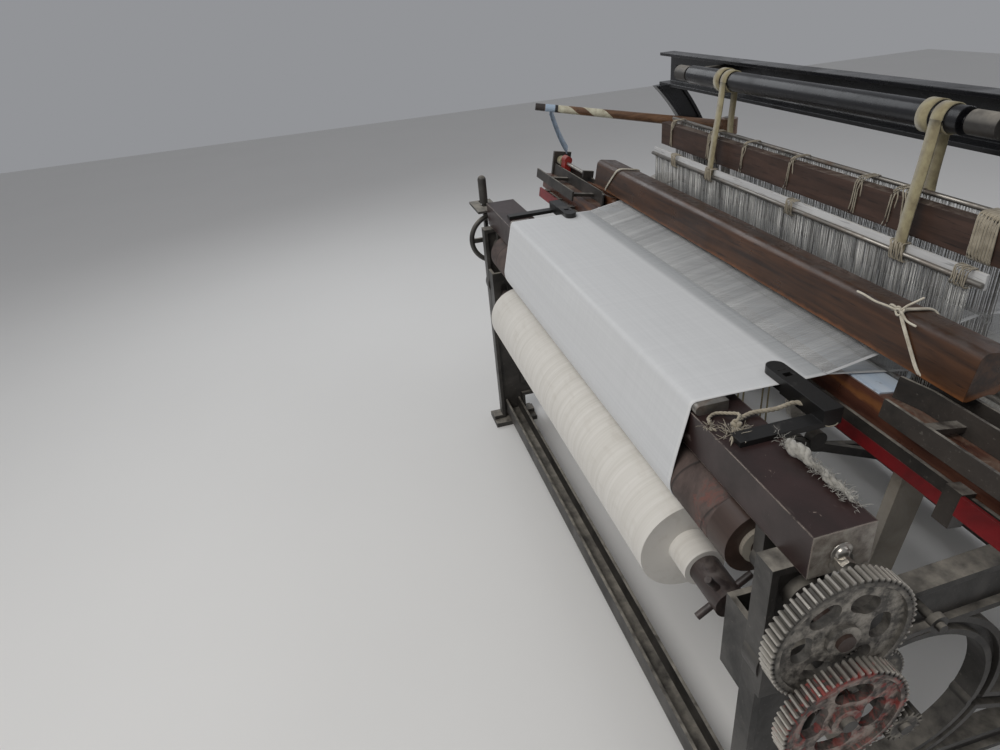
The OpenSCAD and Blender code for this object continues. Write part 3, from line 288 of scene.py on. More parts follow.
def beamFinish():
    # Breast beam: dark maroon paint, scratched and chipped on top, worn to pale metal on its end and edges.
    s = Shader("beamPaint", roughness=0.4)
    blotch = s.noise(7.0, 6.0, 0.62, warp=0.6)
    grime = s.noise(40.0, 5.0, 0.65)
    scratch = s.noise(26.0, 6.0, 0.72, s.stretch((0.22, 1.0, 1.0), (0, 0, 0.4)), warp=1.6)
    colour = s.mix(s.step(blotch, 0.35, 0.68), (0.037, 0.019, 0.018), (0.018, 0.010, 0.009))
    marks = s.times(s.step(scratch, 0.60, 0.66), s.step(s.noise(4.0, 3.0, 0.6), 0.46, 0.60))
    colour = s.mix(s.times(marks, 0.55), colour, (0.15, 0.12, 0.105))
    chips = s.step(s.noise(70.0, 5.0, 0.7, warp=1.2), 0.68, 0.73)
    colour = s.mix(chips, colour, (0.24, 0.19, 0.16))
    end = s.step(s.math("ABSOLUTE", s.axis("X")), 0.8962, 0.8969)
    bare = s.mix(s.step(grime, 0.35, 0.62), (0.40, 0.365, 0.31), (0.15, 0.12, 0.10))
    colour = s.mix(s.times(end, s.step(blotch, 0.30, 0.42, (0.75, 1.0))), colour, bare)
    edge = s.times(s.worn(0.0035), s.step(grime, 0.34, 0.52))
    colour = s.mix(s.times(edge, 0.85), colour, (0.40, 0.34, 0.29))
    rough = s.step(s.plus(blotch, s.times(marks, 0.5)), 0.3, 1.1, (0.30, 0.62))
    height = s.plus(grime, s.times(marks, -0.5))
    return s.finish(colour, rough, s.bump(height, 0.22, 0.0012, s.rounded(0.004)))


def threadFinish():
    # Warp threads: off-white cotton, its tone changing a little from end to end, in groups across the loom.
    s = Shader("warpCotton", roughness=0.9, specular=0.15, sheen=0.2)
    ends = s.noise(420.0, 2.0, 0.6, s.stretch((1.0, 0.01, 0.01)))
    groups = s.noise(34.0, 4.0, 0.6, s.stretch((1.0, 0.06, 0.06)))
    tone = s.plus(s.times(ends, 0.45), s.times(groups, 0.55))
    return s.finish(s.mix(s.step(tone, 0.36, 0.64), (0.36, 0.365, 0.37), (0.66, 0.665, 0.66)))


def sleyFinish():
    # Sley beam: red-brown timber whose front is streaked with orange in a band where the varnish has gone.
    # The height up the sley is measured square to its lean: (y - rock) sin lean + (z - rock) cos lean.
    def worn(s, colour):
        up = s.upSley()
        front = s.step(s.facing("Y"), -0.75, -0.92)
        ragged = s.plus(up, s.times(s.noise(24.0, 5.0, 0.65, s.stretch((0.30, 1, 1))), 0.040))
        band = s.times(s.step(ragged, 0.738, 0.744), s.step(ragged, 0.756, 0.748))
        streaks = s.noise(90.0, 4.0, 0.6, s.stretch((0.06, 1, 1)))
        orange = s.mix(streaks, (0.30, 0.125, 0.040), (0.10, 0.036, 0.018))
        return s.mix(s.times(s.times(band, front), 0.85), colour, orange)
    return woodFinish("sleyWood", (0.050, 0.018, 0.012), (0.115, 0.045, 0.026), "X", 0.30, 0.2, worn,
                      woodDust)


def capFinish():
    # Reed cap: dark red-brown varnish, rubbed to orange along the low front edge where hands slide.
    def worn(s, colour):
        lift = s.minus(s.axis("Z"), s.times(s.axis("Y"), 0.20))
        rubbed = s.plus(lift, s.times(s.noise(20.0, 5.0, 0.65), 0.018))
        band = s.step(rubbed, 0.991, 0.984)
        streaks = s.noise(60.0, 4.0, 0.6, s.stretch((0.08, 1, 1)))
        orange = s.mix(streaks, (0.22, 0.085, 0.026), (0.10, 0.036, 0.014))
        return s.mix(band, colour, orange)
    return woodFinish("capVarnish", (0.022, 0.009, 0.004), (0.076, 0.031, 0.012), "X", 0.32, 0.15, worn,
                      (0.065, 0.052, 0.046))


def stickFinish():
    # Picking stick: yellow-brown varnish. From the clamp to the tip come a broad spiral of cream tape,
    # a turn of black tape, a pale blue band and a dark tip, each between two shares of the stick's length.
    root, tip = np.array(place["stickRoot"]), np.array(place["stickTip"])
    reach = float(np.linalg.norm(tip - root))
    along = (tip - root) / reach

    def worn(s, colour):
        # run is the share of the stick's length passed; aside and above are steps away from its middle line
        x = s.minus(s.math("ABSOLUTE", s.axis("X")), float(root[0]))
        y, z, _ = s.about((float(root[1]), float(root[2])))
        run = s.plus(s.times(x, along[0] / reach), s.times(y, along[1] / reach))
        run = s.plus(run, s.times(z, along[2] / reach))
        aside = s.minus(x, s.times(run, float(tip[0] - root[0])))
        above = s.minus(z, s.times(run, float(tip[2] - root[2])))
        turn = s.math("DIVIDE", s.math("ARCTAN2", above, aside), 2 * math.pi)
        wound = s.math("FRACT", s.plus(s.times(run, reach / 0.120), turn))

        def between(low, high):
            return s.times(s.step(run, low - 0.002, low + 0.002), s.step(run, high + 0.002, high - 0.002))

        tape = s.times(between(0.60, 0.885), s.step(wound, 0.58, 0.56))
        soiled = s.mix(s.step(s.noise(50.0, 4.0, 0.6), 0.4, 0.65), (0.60, 0.575, 0.44), (0.40, 0.36, 0.26))
        colour = s.mix(tape, colour, soiled)
        colour = s.mix(between(0.885, 0.900), colour, (0.012, 0.012, 0.012))
        colour = s.mix(between(0.90, 0.95), colour, (0.34, 0.43, 0.53))
        return s.mix(s.step(run, 0.95, 0.955), colour, (0.030, 0.022, 0.018))
    return woodFinish("stickVarnish", (0.085, 0.040, 0.020), (0.200, 0.105, 0.052), "Y", 0.30, 0.3, worn)


def raceFinish():
    # Race strip: pale blue-grey laminate, streaked along its length and soiled in spots.
    s = Shader("raceLaminate", roughness=0.35)
    streaks = s.noise(30.0, 5.0, 0.6, s.stretch((0.1, 1, 1)))
    colour = s.mix(s.step(streaks, 0.35, 0.7), (0.40, 0.50, 0.62), (0.62, 0.68, 0.74))
    colour = s.mix(s.step(s.noise(40.0), 0.60, 0.75), colour, (0.20, 0.20, 0.20))
    return s.finish(colour, None, s.bump(streaks, 0.1, 0.0005))


def healdFinish():
    # Heald wires: bright or dark wire by wire, and in groups.
    s = Shader("healdWire", roughness=0.42, metallic=0.75)
    single = s.noise(330.0, 2.0, 0.6, s.stretch((1.0, 0.02, 0.012)))
    group = s.noise(60.0, 3.0, 0.6, s.stretch((1.0, 0.1, 0.14)))
    tone = s.plus(s.times(single, 0.6), s.times(group, 0.4))
    return s.finish(s.mix(s.step(tone, 0.38, 0.62), (0.055, 0.054, 0.052), (0.62, 0.61, 0.58)))


def emeryFinish():
    # Emery roller: brown-black strip wound on in a helix and scuffed pale, with a red patch by its right end.
    # The bare wooden end beyond it carries a pale washer round the journal.
    s = Shader("emeryCover", roughness=0.82)
    y, z, reach = s.about(place["emery"])
    turn = s.math("DIVIDE", s.math("ARCTAN2", z, y), 2 * math.pi)
    along = s.math("FRACT", s.plus(s.times(s.axis("X"), 1 / 0.105), turn))
    seam = s.math("MAXIMUM", s.step(along, 0.05, 0.0), s.step(along, 0.97, 1.0))
    scuff = s.noise(11.0, 7.0, 0.7, warp=0.9)
    grit = s.noise(420.0, 2.0, 0.7)
    colour = s.mix(s.step(scuff, 0.35, 0.62), (0.030, 0.020, 0.017), (0.105, 0.074, 0.064))
    colour = s.mix(s.step(s.noise(26.0, 6.0, 0.7, warp=1.1), 0.62, 0.72), colour, (0.16, 0.11, 0.09))
    colour = s.mix(s.times(seam, 0.8), colour, (0.012, 0.010, 0.009))
    patch = s.times(s.step(s.math("ABSOLUTE", s.minus(s.axis("X"), 0.668)), 0.032, 0.020),
                    s.step(s.noise(30.0, 5.0, 0.7, warp=1.0), 0.48, 0.60))
    colour = s.mix(s.times(patch, 0.8), colour, (0.150, 0.058, 0.045))
    bare = s.step(s.axis("X"), 0.699, 0.701)
    grain = s.noise(60.0, 5.0, 0.6, s.stretch((0.08, 1.0, 1.0)))
    colour = s.mix(bare, colour, s.mix(grain, (0.020, 0.012, 0.010), (0.075, 0.045, 0.034)))
    washer = s.times(s.step(reach, 0.0345, 0.0335), s.step(reach, 0.0185, 0.0190))
    colour = s.mix(s.times(washer, bare), colour, (0.42, 0.385, 0.32))
    height = s.times(s.minus(s.times(grit, 0.25), seam), s.step(bare, 0, 1, (1.0, 0.15)))
    rough = s.times(s.step(scuff, 0.3, 0.7, (0.62, 0.9)), s.step(bare, 0, 1, (1.0, 0.55)))
    return s.finish(colour, rough, s.bump(height, 0.6, 0.0012))


def clothFinish():
    # Plain weave on the sheet's own UV: u across in metres, v along from the fell in metres.
    s = Shader("whiteCloth", roughness=0.88, specular=0.2, sheen=0.25)
    uv = s.coords.outputs["UV"]
    u, v = s.axis("X", uv), s.axis("Y", uv)
    weave = s.times(s.math("SINE", s.times(u, 2 * math.pi / 0.0011)),
                    s.math("SINE", s.times(v, 2 * math.pi / 0.0011)))
    picks = s.noise(70.0, 4.0, 0.6, s.stretch((0.02, 1.6, 1.0), source=uv))
    ends = s.noise(60.0, 3.0, 0.6, s.stretch((2.2, 0.04, 1.0), source=uv))
    bands = s.plus(s.times(picks, 0.6), s.times(ends, 0.4))
    colour = s.mix(s.step(bands, 0.36, 0.64), (0.560, 0.567, 0.572), (0.610, 0.617, 0.621))
    # painted shade: a darker strip along the fell, ragged at its far edge and darkest at the fell itself,
    # where the thin new weave lets the shaded space under the cloth show through; the open weave is real, its
    # darkness is painted into the cloth's colour
    edge = s.plus(v, s.times(ends, 0.008))
    strip = s.plus(s.step(edge, 0.050, 0.038, (0.0, 0.42)), s.step(v, 0.040, 0.0, (0.0, 0.33)))
    gauzyShade = s.times(strip, s.step(s.plus(ends, picks), 0.75, 1.2, (0.75, 1.2)))
    colour = s.mix(gauzyShade, colour, (0.20, 0.212, 0.218))
    selvedge = s.step(s.math("ABSOLUTE", s.minus(u, 0.572)), 0.562, 0.568)
    colour = s.mix(s.times(selvedge, 0.5), colour, (0.75, 0.75, 0.74))
    height = s.plus(s.times(weave, 0.3), bands)
    return s.finish(colour, None, s.bump(height, 0.14, 0.0006))


def rollFinish():
    # Rolled cloth: cream, with fine rings round it from the turns and faint creases along it, the creases
    # darkened with painted shade.
    s = Shader("rolledCloth", roughness=0.9, specular=0.2, sheen=0.25)
    rings = s.noise(120.0, 4.0, 0.6, s.stretch((1.0, 0.03, 0.03)))
    creasesAndShade = s.noise(42.0, 4.0, 0.6, s.stretch((0.35, 1.0, 1.0)))
    colour = s.mix(s.step(rings, 0.35, 0.66), (0.60, 0.575, 0.525), (0.68, 0.655, 0.61))
    # painted shade: the creases are darkened towards a deeper cream
    colour = s.mix(s.times(s.step(creasesAndShade, 0.55, 0.72), 0.25), colour, (0.48, 0.44, 0.38))
    return s.finish(colour, None, s.bump(s.plus(rings, creasesAndShade), 0.35, 0.0009))


def yarnFinish():
    # Warp beam: yarn out to its wound radius and between the flanges, iron everywhere else.
    s = Shader("beamYarn", roughness=0.92, specular=0.15, sheen=0.3)
    reach = s.about(place["warpCore"])[2]
    wound = s.times(s.step(reach, 0.1515, 0.1505), s.step(s.math("ABSOLUTE", s.axis("X")), 0.602, 0.600))
    ends = s.noise(320.0, 3.0, 0.6, s.stretch((1.0, 0.02, 0.02)))
    yarn = s.mix(s.step(ends, 0.35, 0.65), (0.58, 0.56, 0.51), (0.74, 0.73, 0.69))
    iron = s.mix(s.step(s.noise(12.0, 6.0, 0.65), 0.4, 0.65), (0.05, 0.04, 0.035), (0.12, 0.10, 0.085))
    return s.finish(s.mix(wound, iron, yarn), None, s.bump(ends, 0.5, 0.0008))


def makeFinishes():
    # Every material by its slot in the record.
    return {
        "painted_iron": castIron("paintedIron", (0.055, 0.050, 0.045), lintColour, dustiness=0.55),
        "breast_beam_paint": beamFinish(),
        "black_enamel": castIron("blackEnamel", (0.010, 0.010, 0.012), (0.12, 0.12, 0.12),
                                 (0.005, 0.005, 0.006), dustiness=0.06, edge=0.003, gloss=0.20),
        "box_iron": castIron("boxIron", (0.050, 0.042, 0.036), lintColour, dustiness=0.45),
        "worn_steel": bareSteel("wornSteel", (0.34, 0.32, 0.29), 0.38, rusty=0.7),
        "bright_steel": bareSteel("brightSteel", (0.55, 0.52, 0.47), 0.30, rusty=0.25),
        "gear_iron": gearIron("driveGearIron", *gears["crank"], darkIron, paleDust),
        "oiled_wood": woodFinish("oiledWood", (0.060, 0.034, 0.020), (0.130, 0.080, 0.048), "Y", 0.5,
                                 dust=paleDust),
        "box_wood": woodFinish("sleyWood", (0.085, 0.032, 0.018), (0.200, 0.088, 0.045), "X", 0.34, 0.15,
                               dust=woodDust),
        "varnished_cap": capFinish(),
        "varnished_stick": stickFinish(),
        "brown_stave": woodFinish("staveWood", (0.030, 0.016, 0.011), (0.068, 0.036, 0.025), "X", 0.48,
                                  dust=(0.20, 0.16, 0.13)),
        "pale_lath": woodFinish("lathWood", (0.52, 0.52, 0.52), (0.68, 0.68, 0.67), "X", 0.6,
                                dust=(0.45, 0.42, 0.36)),
        "dark_core": woodFinish("coreWood", (0.022, 0.016, 0.015), (0.052, 0.036, 0.032), "X", 0.40,
                                dust=(0.13, 0.11, 0.10)),
        "leather": cordFinish("strapLeather", (0.33, 0.29, 0.175), (0.19, 0.155, 0.095), 300.0),
        "black_plastic": castIron("templePlastic", (0.010, 0.010, 0.010), (0.16, 0.15, 0.14), dustiness=0.12,
                                  edge=0.0016, gloss=0.36),
        "race_laminate": raceFinish(),
        "red_picker": castIron("pickerRed", (0.40, 0.030, 0.022), (0.33, 0.22, 0.18), (0.16, 0.018, 0.014),
                               dustiness=0.35, gloss=0.38),
        "reed_wire": bareSteel("reedWire", (0.42, 0.42, 0.41), 0.35, rusty=0.1),
        "heald_wire": healdFinish(),
        "blue_band": cordFinish("bandWebbing", (0.32, 0.42, 0.54), (0.20, 0.25, 0.31), 500.0),
        "emery_cover": emeryFinish(),
        "red_gear": gearIron("carrierIron", *gears["carrier"], (0.06, 0.045, 0.04), (0.42, 0.35, 0.30),
                             chip=(0.23, 0.035, 0.028)),
        "white_cloth": clothFinish(),
        "rolled_cloth": rollFinish(),
        "cotton_yarn": threadFinish(),
        "beam_yarn": yarnFinish(),
    }


# mesh building blocks

def makeMesh(name, points, faces, smooth=True, uv=None):
    # A mesh object from an array of points and a list or array of faces; uv is one pair for each point.
    mesh = bpy.data.meshes.new(name)
    mesh.from_pydata(np.asarray(points, float).reshape(-1, 3).tolist(), [], np.asarray(faces).tolist())
    mesh.update()
    if uv is not None:
        layer = mesh.uv_layers.new(name="UVMap")
        loops = np.zeros(len(mesh.loops), np.int32)
        mesh.loops.foreach_get("vertex_index", loops)
        layer.data.foreach_set("uv", np.asarray(uv, np.float32)[loops].ravel())
    mesh.polygons.foreach_set("use_smooth", [smooth] * len(mesh.polygons))
    made = bpy.data.objects.new(name, mesh)
    bpy.context.scene.collection.objects.link(made)
    return made


def gridFaces(rows, columns, closeRows=False, closeColumns=False):
    # Quads over a grid of rows by columns of points, joined round where a direction is closed.
    r = np.arange(rows if closeRows else rows - 1)
    c = np.arange(columns if closeColumns else columns - 1)
    r, c = (a.ravel() for a in np.meshgrid(r, c, indexing="ij"))
    here, there, after = r * columns, (r + 1) % rows * columns, (c + 1) % columns
    return np.column_stack([here + c, here + after, there + after, there + c])


def squareTo(path):
    # Two directions square to a path, or to each of many, at each of its points.
    along = np.gradient(path, axis=-2)
    along /= np.maximum(np.linalg.norm(along, axis=-1, keepdims=True), 1e-9)
    helper = np.where(np.abs(along[..., 2:3]) < 0.9, np.array([0.0, 0.0, 1.0]), np.array([1.0, 0.0, 0.0]))
    first = np.cross(along, helper)
    first /= np.maximum(np.linalg.norm(first, axis=-1, keepdims=True), 1e-9)
    return first, np.cross(along, first)


def lengthRun(path):
    # The length run along a path at each of its points.
    return np.concatenate([[0], np.cumsum(np.linalg.norm(np.diff(path, axis=0), axis=1))])


def tubeShape(paths, radius, sides=6, flatEnds=False):
    # Round tubes along many paths at once: a circle is carried along each path, square to its direction, and
    # the two ends close almost to a point. paths is (tubes, points, 3); radius is a number or one a point.
    paths = np.asarray(paths, float)
    if flatEnds:  # a doubled end point keeps the tube full up to its end, and the last ring closes it flat
        paths = np.concatenate([paths[:, :1], paths, paths[:, -1:]], axis=1)
    count, steps, _ = paths.shape
    first, second = squareTo(paths)
    angle = np.linspace(0, 2 * np.pi, sides, endpoint=False)
    size = np.broadcast_to(np.asarray(radius, float), (count, steps)).copy()
    size[:, [0, -1]] *= 0.02
    ring = (first[:, :, None, :] * np.cos(angle)[None, None, :, None]
            + second[:, :, None, :] * np.sin(angle)[None, None, :, None])
    points = paths[:, :, None, :] + ring * size[:, :, None, None]
    faces = gridFaces(steps, sides, closeColumns=True)
    faces = (faces[None] + (np.arange(count) * steps * sides)[:, None, None]).reshape(-1, 4)
    return points.reshape(-1, 3), faces


def smoothPath(points, count):
    # A Catmull-Rom curve through given points, with count points evenly spread by parameter.
    p = np.asarray(points, float)
    p = np.vstack([2 * p[0] - p[1], p, 2 * p[-1] - p[-2]])
    t = np.linspace(0, len(p) - 3 - 1e-9, count)
    i = t.astype(int)
    f = (t - i)[:, None]
    a, b, c, d = p[i], p[i + 1], p[i + 2], p[i + 3]
    square, cube = 2 * a - 5 * b + 4 * c - d, 3 * b - 3 * c + d - a
    return 0.5 * (2 * b + (c - a) * f + square * f ** 2 + cube * f ** 3)


def onSley(points):
    # Turns points drawn upright from the rocking shaft back by the sley's lean.
    p = np.asarray(points, float).reshape(-1, 3)
    c, s = math.cos(-place["lean"]), math.sin(-place["lean"])
    y, z = p[:, 1], p[:, 2]
    return np.column_stack([p[:, 0], place["rock"][0] + c * y - s * z, place["rock"][1] + s * y + c * z])


def coat(made, slot, finish=None):
    # Gives a piece its slot, with the slot's finish or one of its own.
    made.data.materials.clear()
    made.data.materials.append(finish or finishes[slot])


def dress(made, body, slot, finish=None):
    # Lets a new piece ride on its body and gives it its finish.
    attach(made, body)
    coat(made, slot, finish)


finishes = makeFinishes()
print("finishes made:", len(finishes))


# solids keep their shape and get their slot's finish, and five get one of their own

def finishSolids():
    for row in record["subparts"]:
        node = frame["nodes"][row["node"]]
        node.data.materials.clear()
        node.data.materials.append(finishes[row["material_slot"]])
    own = {
        "beam_wheel": gearIron("beamWheelIron", *gears["beam"], (0.085, 0.078, 0.068), (0.42, 0.385, 0.33)),
        "sley_beam": sleyFinish(),
        "sley_swords": castIron("swordIron", (0.34, 0.31, 0.265), (0.44, 0.41, 0.36), (0.20, 0.175, 0.14)),
        "bottom_gear": gearIron("bottomGearIron", *gears["bottom"], darkIron, paleDust),
        "ratchet_wheel": gearIron("ratchetIron", *gears["ratchet"], darkIron, paleDust),
    }
    for name, finish in own.items():
        frame["nodes"][name].data.materials[0] = finish


finishSolids()
print("solids finished:", len(record["subparts"]))


# building blocks for cords, threads and straps

def oneTube(path, radius, sides=6):
    # Points and faces of one round tube along a path.
    return tubeShape(np.asarray(path, float)[None], radius, sides)


def joined(name, shapes, smooth=True):
    # Several shapes, each a pair of points and four-cornered faces, as one mesh.
    counts = np.cumsum([0] + [len(p) for p, f in shapes[:-1]])
    faces = np.vstack([f + n for (p, f), n in zip(shapes, counts)])
    return makeMesh(name, np.vstack([p for p, f in shapes]), faces, smooth)


def strands(path, away, perMetre, count):
    # Helices about a path: each point lies away (cos a, sin a) from it in the plane square to it, with
    # a = 2 pi (run perMetre + k / count) for strand k.
    first, second = squareTo(path)
    run = lengthRun(path)
    start = 2 * np.pi * np.arange(count) / count
    angle = (2 * np.pi * (run * perMetre) + start[:, None])[..., None]
    away = np.broadcast_to(away, run.shape)[None, :, None]
    return path + away * (np.cos(angle) * first + np.sin(angle) * second)


def twisted(path, radius, perMetre, count=3, sides=5):
    # Rope: strands on helices about its line at 0.48 of the rope's radius, each 0.54 of it in radius.
    return tubeShape(strands(path, 0.48 * radius, perMetre, count), 0.54 * radius, sides)


def squared(angle, power):
    # A squared circle: |cos a|^power and |sin a|^power with their signs kept.
    c, s = np.cos(angle), np.sin(angle)
    return np.sign(c) * np.abs(c) ** power, np.sign(s) * np.abs(s) ** power


def knotted(middle, size, turns, count, phase, radius, sides, climb=0.0):
    # A knot: a line round its middle, (cos a, sin a, sin(1.5 a + phase)) times its size, that may climb in y.
    a = np.linspace(0, 2 * np.pi * turns, count)
    x, y, z = size[0] * np.cos(a), size[1] * np.sin(a) + climb * a, size[2] * np.sin(1.5 * a + phase)
    return oneTube(np.array(middle) + np.column_stack([x, y, z]), radius, sides)


def box(low, high):
    # The eight corners and six faces of an upright box.
    pick = np.array([[0, 0, 0], [1, 0, 0], [1, 1, 0], [0, 1, 0], [0, 0, 1], [1, 0, 1], [1, 1, 1], [0, 1, 1]])
    faces = np.array([[0, 3, 2, 1], [4, 5, 6, 7], [0, 1, 5, 4], [1, 2, 6, 5], [2, 3, 7, 6], [3, 0, 4, 7]])
    return np.where(pick == 1, np.array(high, float), np.array(low, float)), faces


def mirrored(low, high):
    # A box right of the middle and its mirror image on the left.
    return [box(low, high), box((-high[0], *low[1:]), (-low[0], *high[1:]))]


def leant(shapes):
    # Shapes drawn upright from the rocking shaft, turned back by the sley's lean.
    return [(onSley(p), f) for p, f in shapes]


def strapFaces(count):
    # Faces of a strap with four corners at each of count points, closed at both ends.
    last = 4 * (count - 1)
    ends = np.array([[0, 1, 2, 3], [last + 3, last + 2, last + 1, last]])
    return np.vstack([gridFaces(count, 4, closeColumns=True), ends])


def squareOff(line):
    # The direction square to a line of (y, z) points, at each of them.
    along = np.gradient(line, axis=0)
    along /= np.linalg.norm(along, axis=1, keepdims=True)
    return np.column_stack([-along[:, 1], along[:, 0]])


def arc(centre, radius, angles):
    # Points (y, z) on a circle.
    return centre + radius * np.column_stack([np.cos(angles), np.sin(angles)])


def ribbon(line, xFrom, xTo, thick):
    # A flat strap: a rectangle from xFrom to xTo and thick deep, carried along a line of (y, z) points.
    line = np.asarray(line, float)
    out = squareOff(line) * thick / 2
    low, high = line - out, line + out
    corners = ((xFrom, low), (xTo, low), (xTo, high), (xFrom, high))
    points = np.stack([np.column_stack([np.full(len(line), x), p]) for x, p in corners], axis=1)
    return points.reshape(-1, 3), strapFaces(len(line))


def wound(x, width, low, high, turns, radius, lean, sides=6):
    # Cord wound round a bar of rectangular section: (y, z) runs round a squared circle between low and high,
    # x creeps along by the width, and lean shifts the front turns sideways. Gives the cord's tube.
    a = np.linspace(0, 2 * np.pi * turns, 18 * turns)
    middle, half = (np.array(low) + np.array(high)) / 2, (np.array(high) - np.array(low)) / 2
    y, z = squared(a, 0.35)
    creep = x + width * a / a[-1] + lean * np.sin(a) + 0.0012 * np.sin(2.7 * a)
    return oneTube(np.column_stack([creep, middle[0] + half[0] * y, middle[1] + half[1] * z]), radius, sides)


def tuft(seed, middle, spread, count, length, radius):
    # Loose lint: short threads from points about the middle, each bent by a smooth random walk.
    random = np.random.default_rng(seed)
    start = np.array(middle) + random.normal(0, 1, (count, 1, 3)) * np.array(spread)
    steps = random.normal(0, 1, (count, 7, 3))
    steps = np.cumsum(steps, axis=1) * 0.5 + random.normal(0, 1, (count, 1, 3)) * 1.2
    steps /= np.linalg.norm(steps, axis=2, keepdims=True)
    lines = start + np.cumsum(steps, axis=1) * length / 7
    lines[..., 2] = np.maximum(lines[..., 2], middle[2] - 0.6 * spread[2] - 0.001)
    return tubeShape(lines, radius, 3)


# ropes, bands and ties: the cords come first, the pieces that they hold follow

capCotton = cordFinish("capCotton", (0.60, 0.555, 0.46), (0.38, 0.34, 0.265), 420.0)
cottonCord = cordFinish("cottonCord", (0.39, 0.345, 0.265), (0.22, 0.19, 0.14), 420.0)
lintCotton = cordFinish("lintCotton", (0.42, 0.405, 0.365), (0.21, 0.197, 0.172), 420.0)


def finishCord(piece, body, finish):
    dress(piece, body, "leather", finish)


ropes = {
    "templeRope": {"radius": 0.0042, "perMetre": 40.0, "count": 150, "far": "knot", "points": [
        (0.688, -0.432, 0.893), (0.655, -0.432, 0.894), (0.627, -0.445, 0.893), (0.627, -0.484, 0.890),
        (0.619, -0.520, 0.887), (0.628, -0.550, 0.8868), (0.641, -0.565, 0.887)]},
    "shortRopeEnd": {"radius": 0.0030, "perMetre": 46.0, "count": 110, "far": "bare", "points": [
        (0.640, -0.562, 0.893), (0.622, -0.548, 0.8925), (0.606, -0.560, 0.888), (0.597, -0.576, 0.8862),
        (0.604, -0.592, 0.8858), (0.620, -0.600, 0.8856)]},
}


def makeRopes():
    # the temple's lashing rope, knotted on the breast beam, and a second short end that leaves the knot
    for name, rope in ropes.items():
        line = smoothPath(rope["points"], rope["count"])
        made = joined(name, [twisted(line, rope["radius"], rope["perMetre"])])
        finishCord(made, "framing", cottonCord)


ropeKnot = {"at": (0.641, -0.566, 0.8875), "size": (0.0062, 0.0054, 0.0040), "cordR": 0.0034,
            "fringeAt": (0.640, -0.567, 0.8870), "fringeR": 0.0013, "fringe": 8, "steps": 9}


def makeRopeKnot():
    # the knot, with a fringe of strands that fan out over the beam, rise a bit and droop, and lint about it
    fan = np.linspace(-1, 1, ropeKnot["fringe"])
    t = np.linspace(0, 1, ropeKnot["steps"])[None, :]
    reach = np.column_stack([0.040 + 0.008 * np.cos(5 * fan), -0.014 + 0.018 * fan, 0 * fan - 0.0045])
    fringe = np.array(ropeKnot["fringeAt"]) + t[..., None] * reach[:, None, :]
    fringe[..., 1] += 0.0016 * np.sin(7 * t + 4 * fan[:, None])
    fringe[..., 2] += 0.0035 * np.sin(np.pi * t) + 0.0006 * np.cos(9 * fan)[:, None]
    made = joined("ropeKnot", [
        knotted(ropeKnot["at"], ropeKnot["size"], 2.6, 60, 0.6, ropeKnot["cordR"], 7, climb=0.001 / 6),
        tubeShape(fringe, ropeKnot["fringeR"], 5),
        tuft(3, (0.657, -0.576, 0.8840), (0.006, 0.006, 0.002), 46, 0.030, 0.0006),
        tuft(4, (0.622, -0.602, 0.8835), (0.003, 0.003, 0.002), 30, 0.018, 0.0005)])
    dress(made, "framing", "leather", cottonCord)


lashing = {"x": 0.636, "pitch": 0.011, "count": 5, "lean": 0.012, "y": -0.423, "z": 0.896, "half": 0.0150,
           "cordR": 0.0011}


def makeLashing():
    # cords that cross over the temple block, each a squared circle round it that leans one way or the other
    a = np.linspace(0, 2 * np.pi, 40)
    y, z = squared(a, 0.6)
    laces = []
    for k in range(lashing["count"]):
        x = lashing["x"] + lashing["pitch"] * k - lashing["lean"] * (-1) ** k * np.sin(a)
        line = np.column_stack([x, lashing["y"] + lashing["half"] * y, lashing["z"] + lashing["half"] * z])
        laces.append(oneTube(line, lashing["cordR"], 5))
    dress(joined("templeLashing", laces), "framing", "leather", cottonCord)


waste = {
    "points": [(0.712, -0.517, 0.8885), (0.730, -0.521, 0.8890), (0.748, -0.516, 0.8895),
               (0.768, -0.521, 0.8890), (0.790, -0.515, 0.8885), (0.812, -0.520, 0.8885),
               (0.836, -0.516, 0.8885), (0.858, -0.520, 0.8880)],
    "radius": 0.0062, "strands": 4, "perMetre": 16, "tuftZ": 0.8890,
    "tufts": [(0.718, -0.521), (0.752, -0.519), (0.788, -0.521), (0.822, -0.519), (0.850, -0.520)],
}


def makeWaste():
    # cotton waste twisted along the beam's back edge, with lint about it; its radius swells and shrinks by
    # 1 + 0.75 sin(58 run) sin(21 run + 1)
    line = smoothPath(waste["points"], 120)
    run = lengthRun(line)
    swell = waste["radius"] * (1.0 + 0.75 * np.sin(58 * run) * np.sin(21 * run + 1.0))
    twist = strands(line, 0.55 * swell, waste["perMetre"], waste["strands"])
    lumps = [tuft(20 + k, (*spot, waste["tuftZ"]), (0.013, 0.004, 0.003), 90, 0.013, 0.0004)
             for k, spot in enumerate(waste["tufts"])]
    made = joined("cottonWaste", [tubeShape(twist, 0.62 * swell, 6)] + lumps)
    dress(made, "framing", "leather", lintCotton)


# upright on the rocking shaft, before the sley's lean: the cap's middle and half size, as (y, z)
capTie = {
    "top": 0.590, "bottom": 0.672, "cordR": 0.0020, "pitch": 0.0043, "turns": 2, "middle": (-0.0125, 0.8390),
    "half": (0.0405, 0.0438), "knot": (0.594, -0.0500, 0.8800), "knotSize": (0.0070, 0.0046, 0.0056),
    "loopAt": (-0.0135, 0.0, 0.0010), "loopR": 0.0080,
    "ends": {
        "capEndLong": [(0, 0, 0), (-0.022, -0.007, 0.003), (-0.050, -0.006, 0.000), (-0.076, -0.008, 0.003),
                       (-0.098, -0.005, 0.001)],
        "capEndShort": [(0, 0, 0), (0.008, 0.004, 0.012), (0.016, 0.011, 0.021), (0.026, 0.018, 0.032)],
        "capEndFront": [(0, 0, 0), (0.012, -0.007, 0.003), (0.028, -0.010, -0.004), (0.048, -0.009, -0.006)],
    },
}


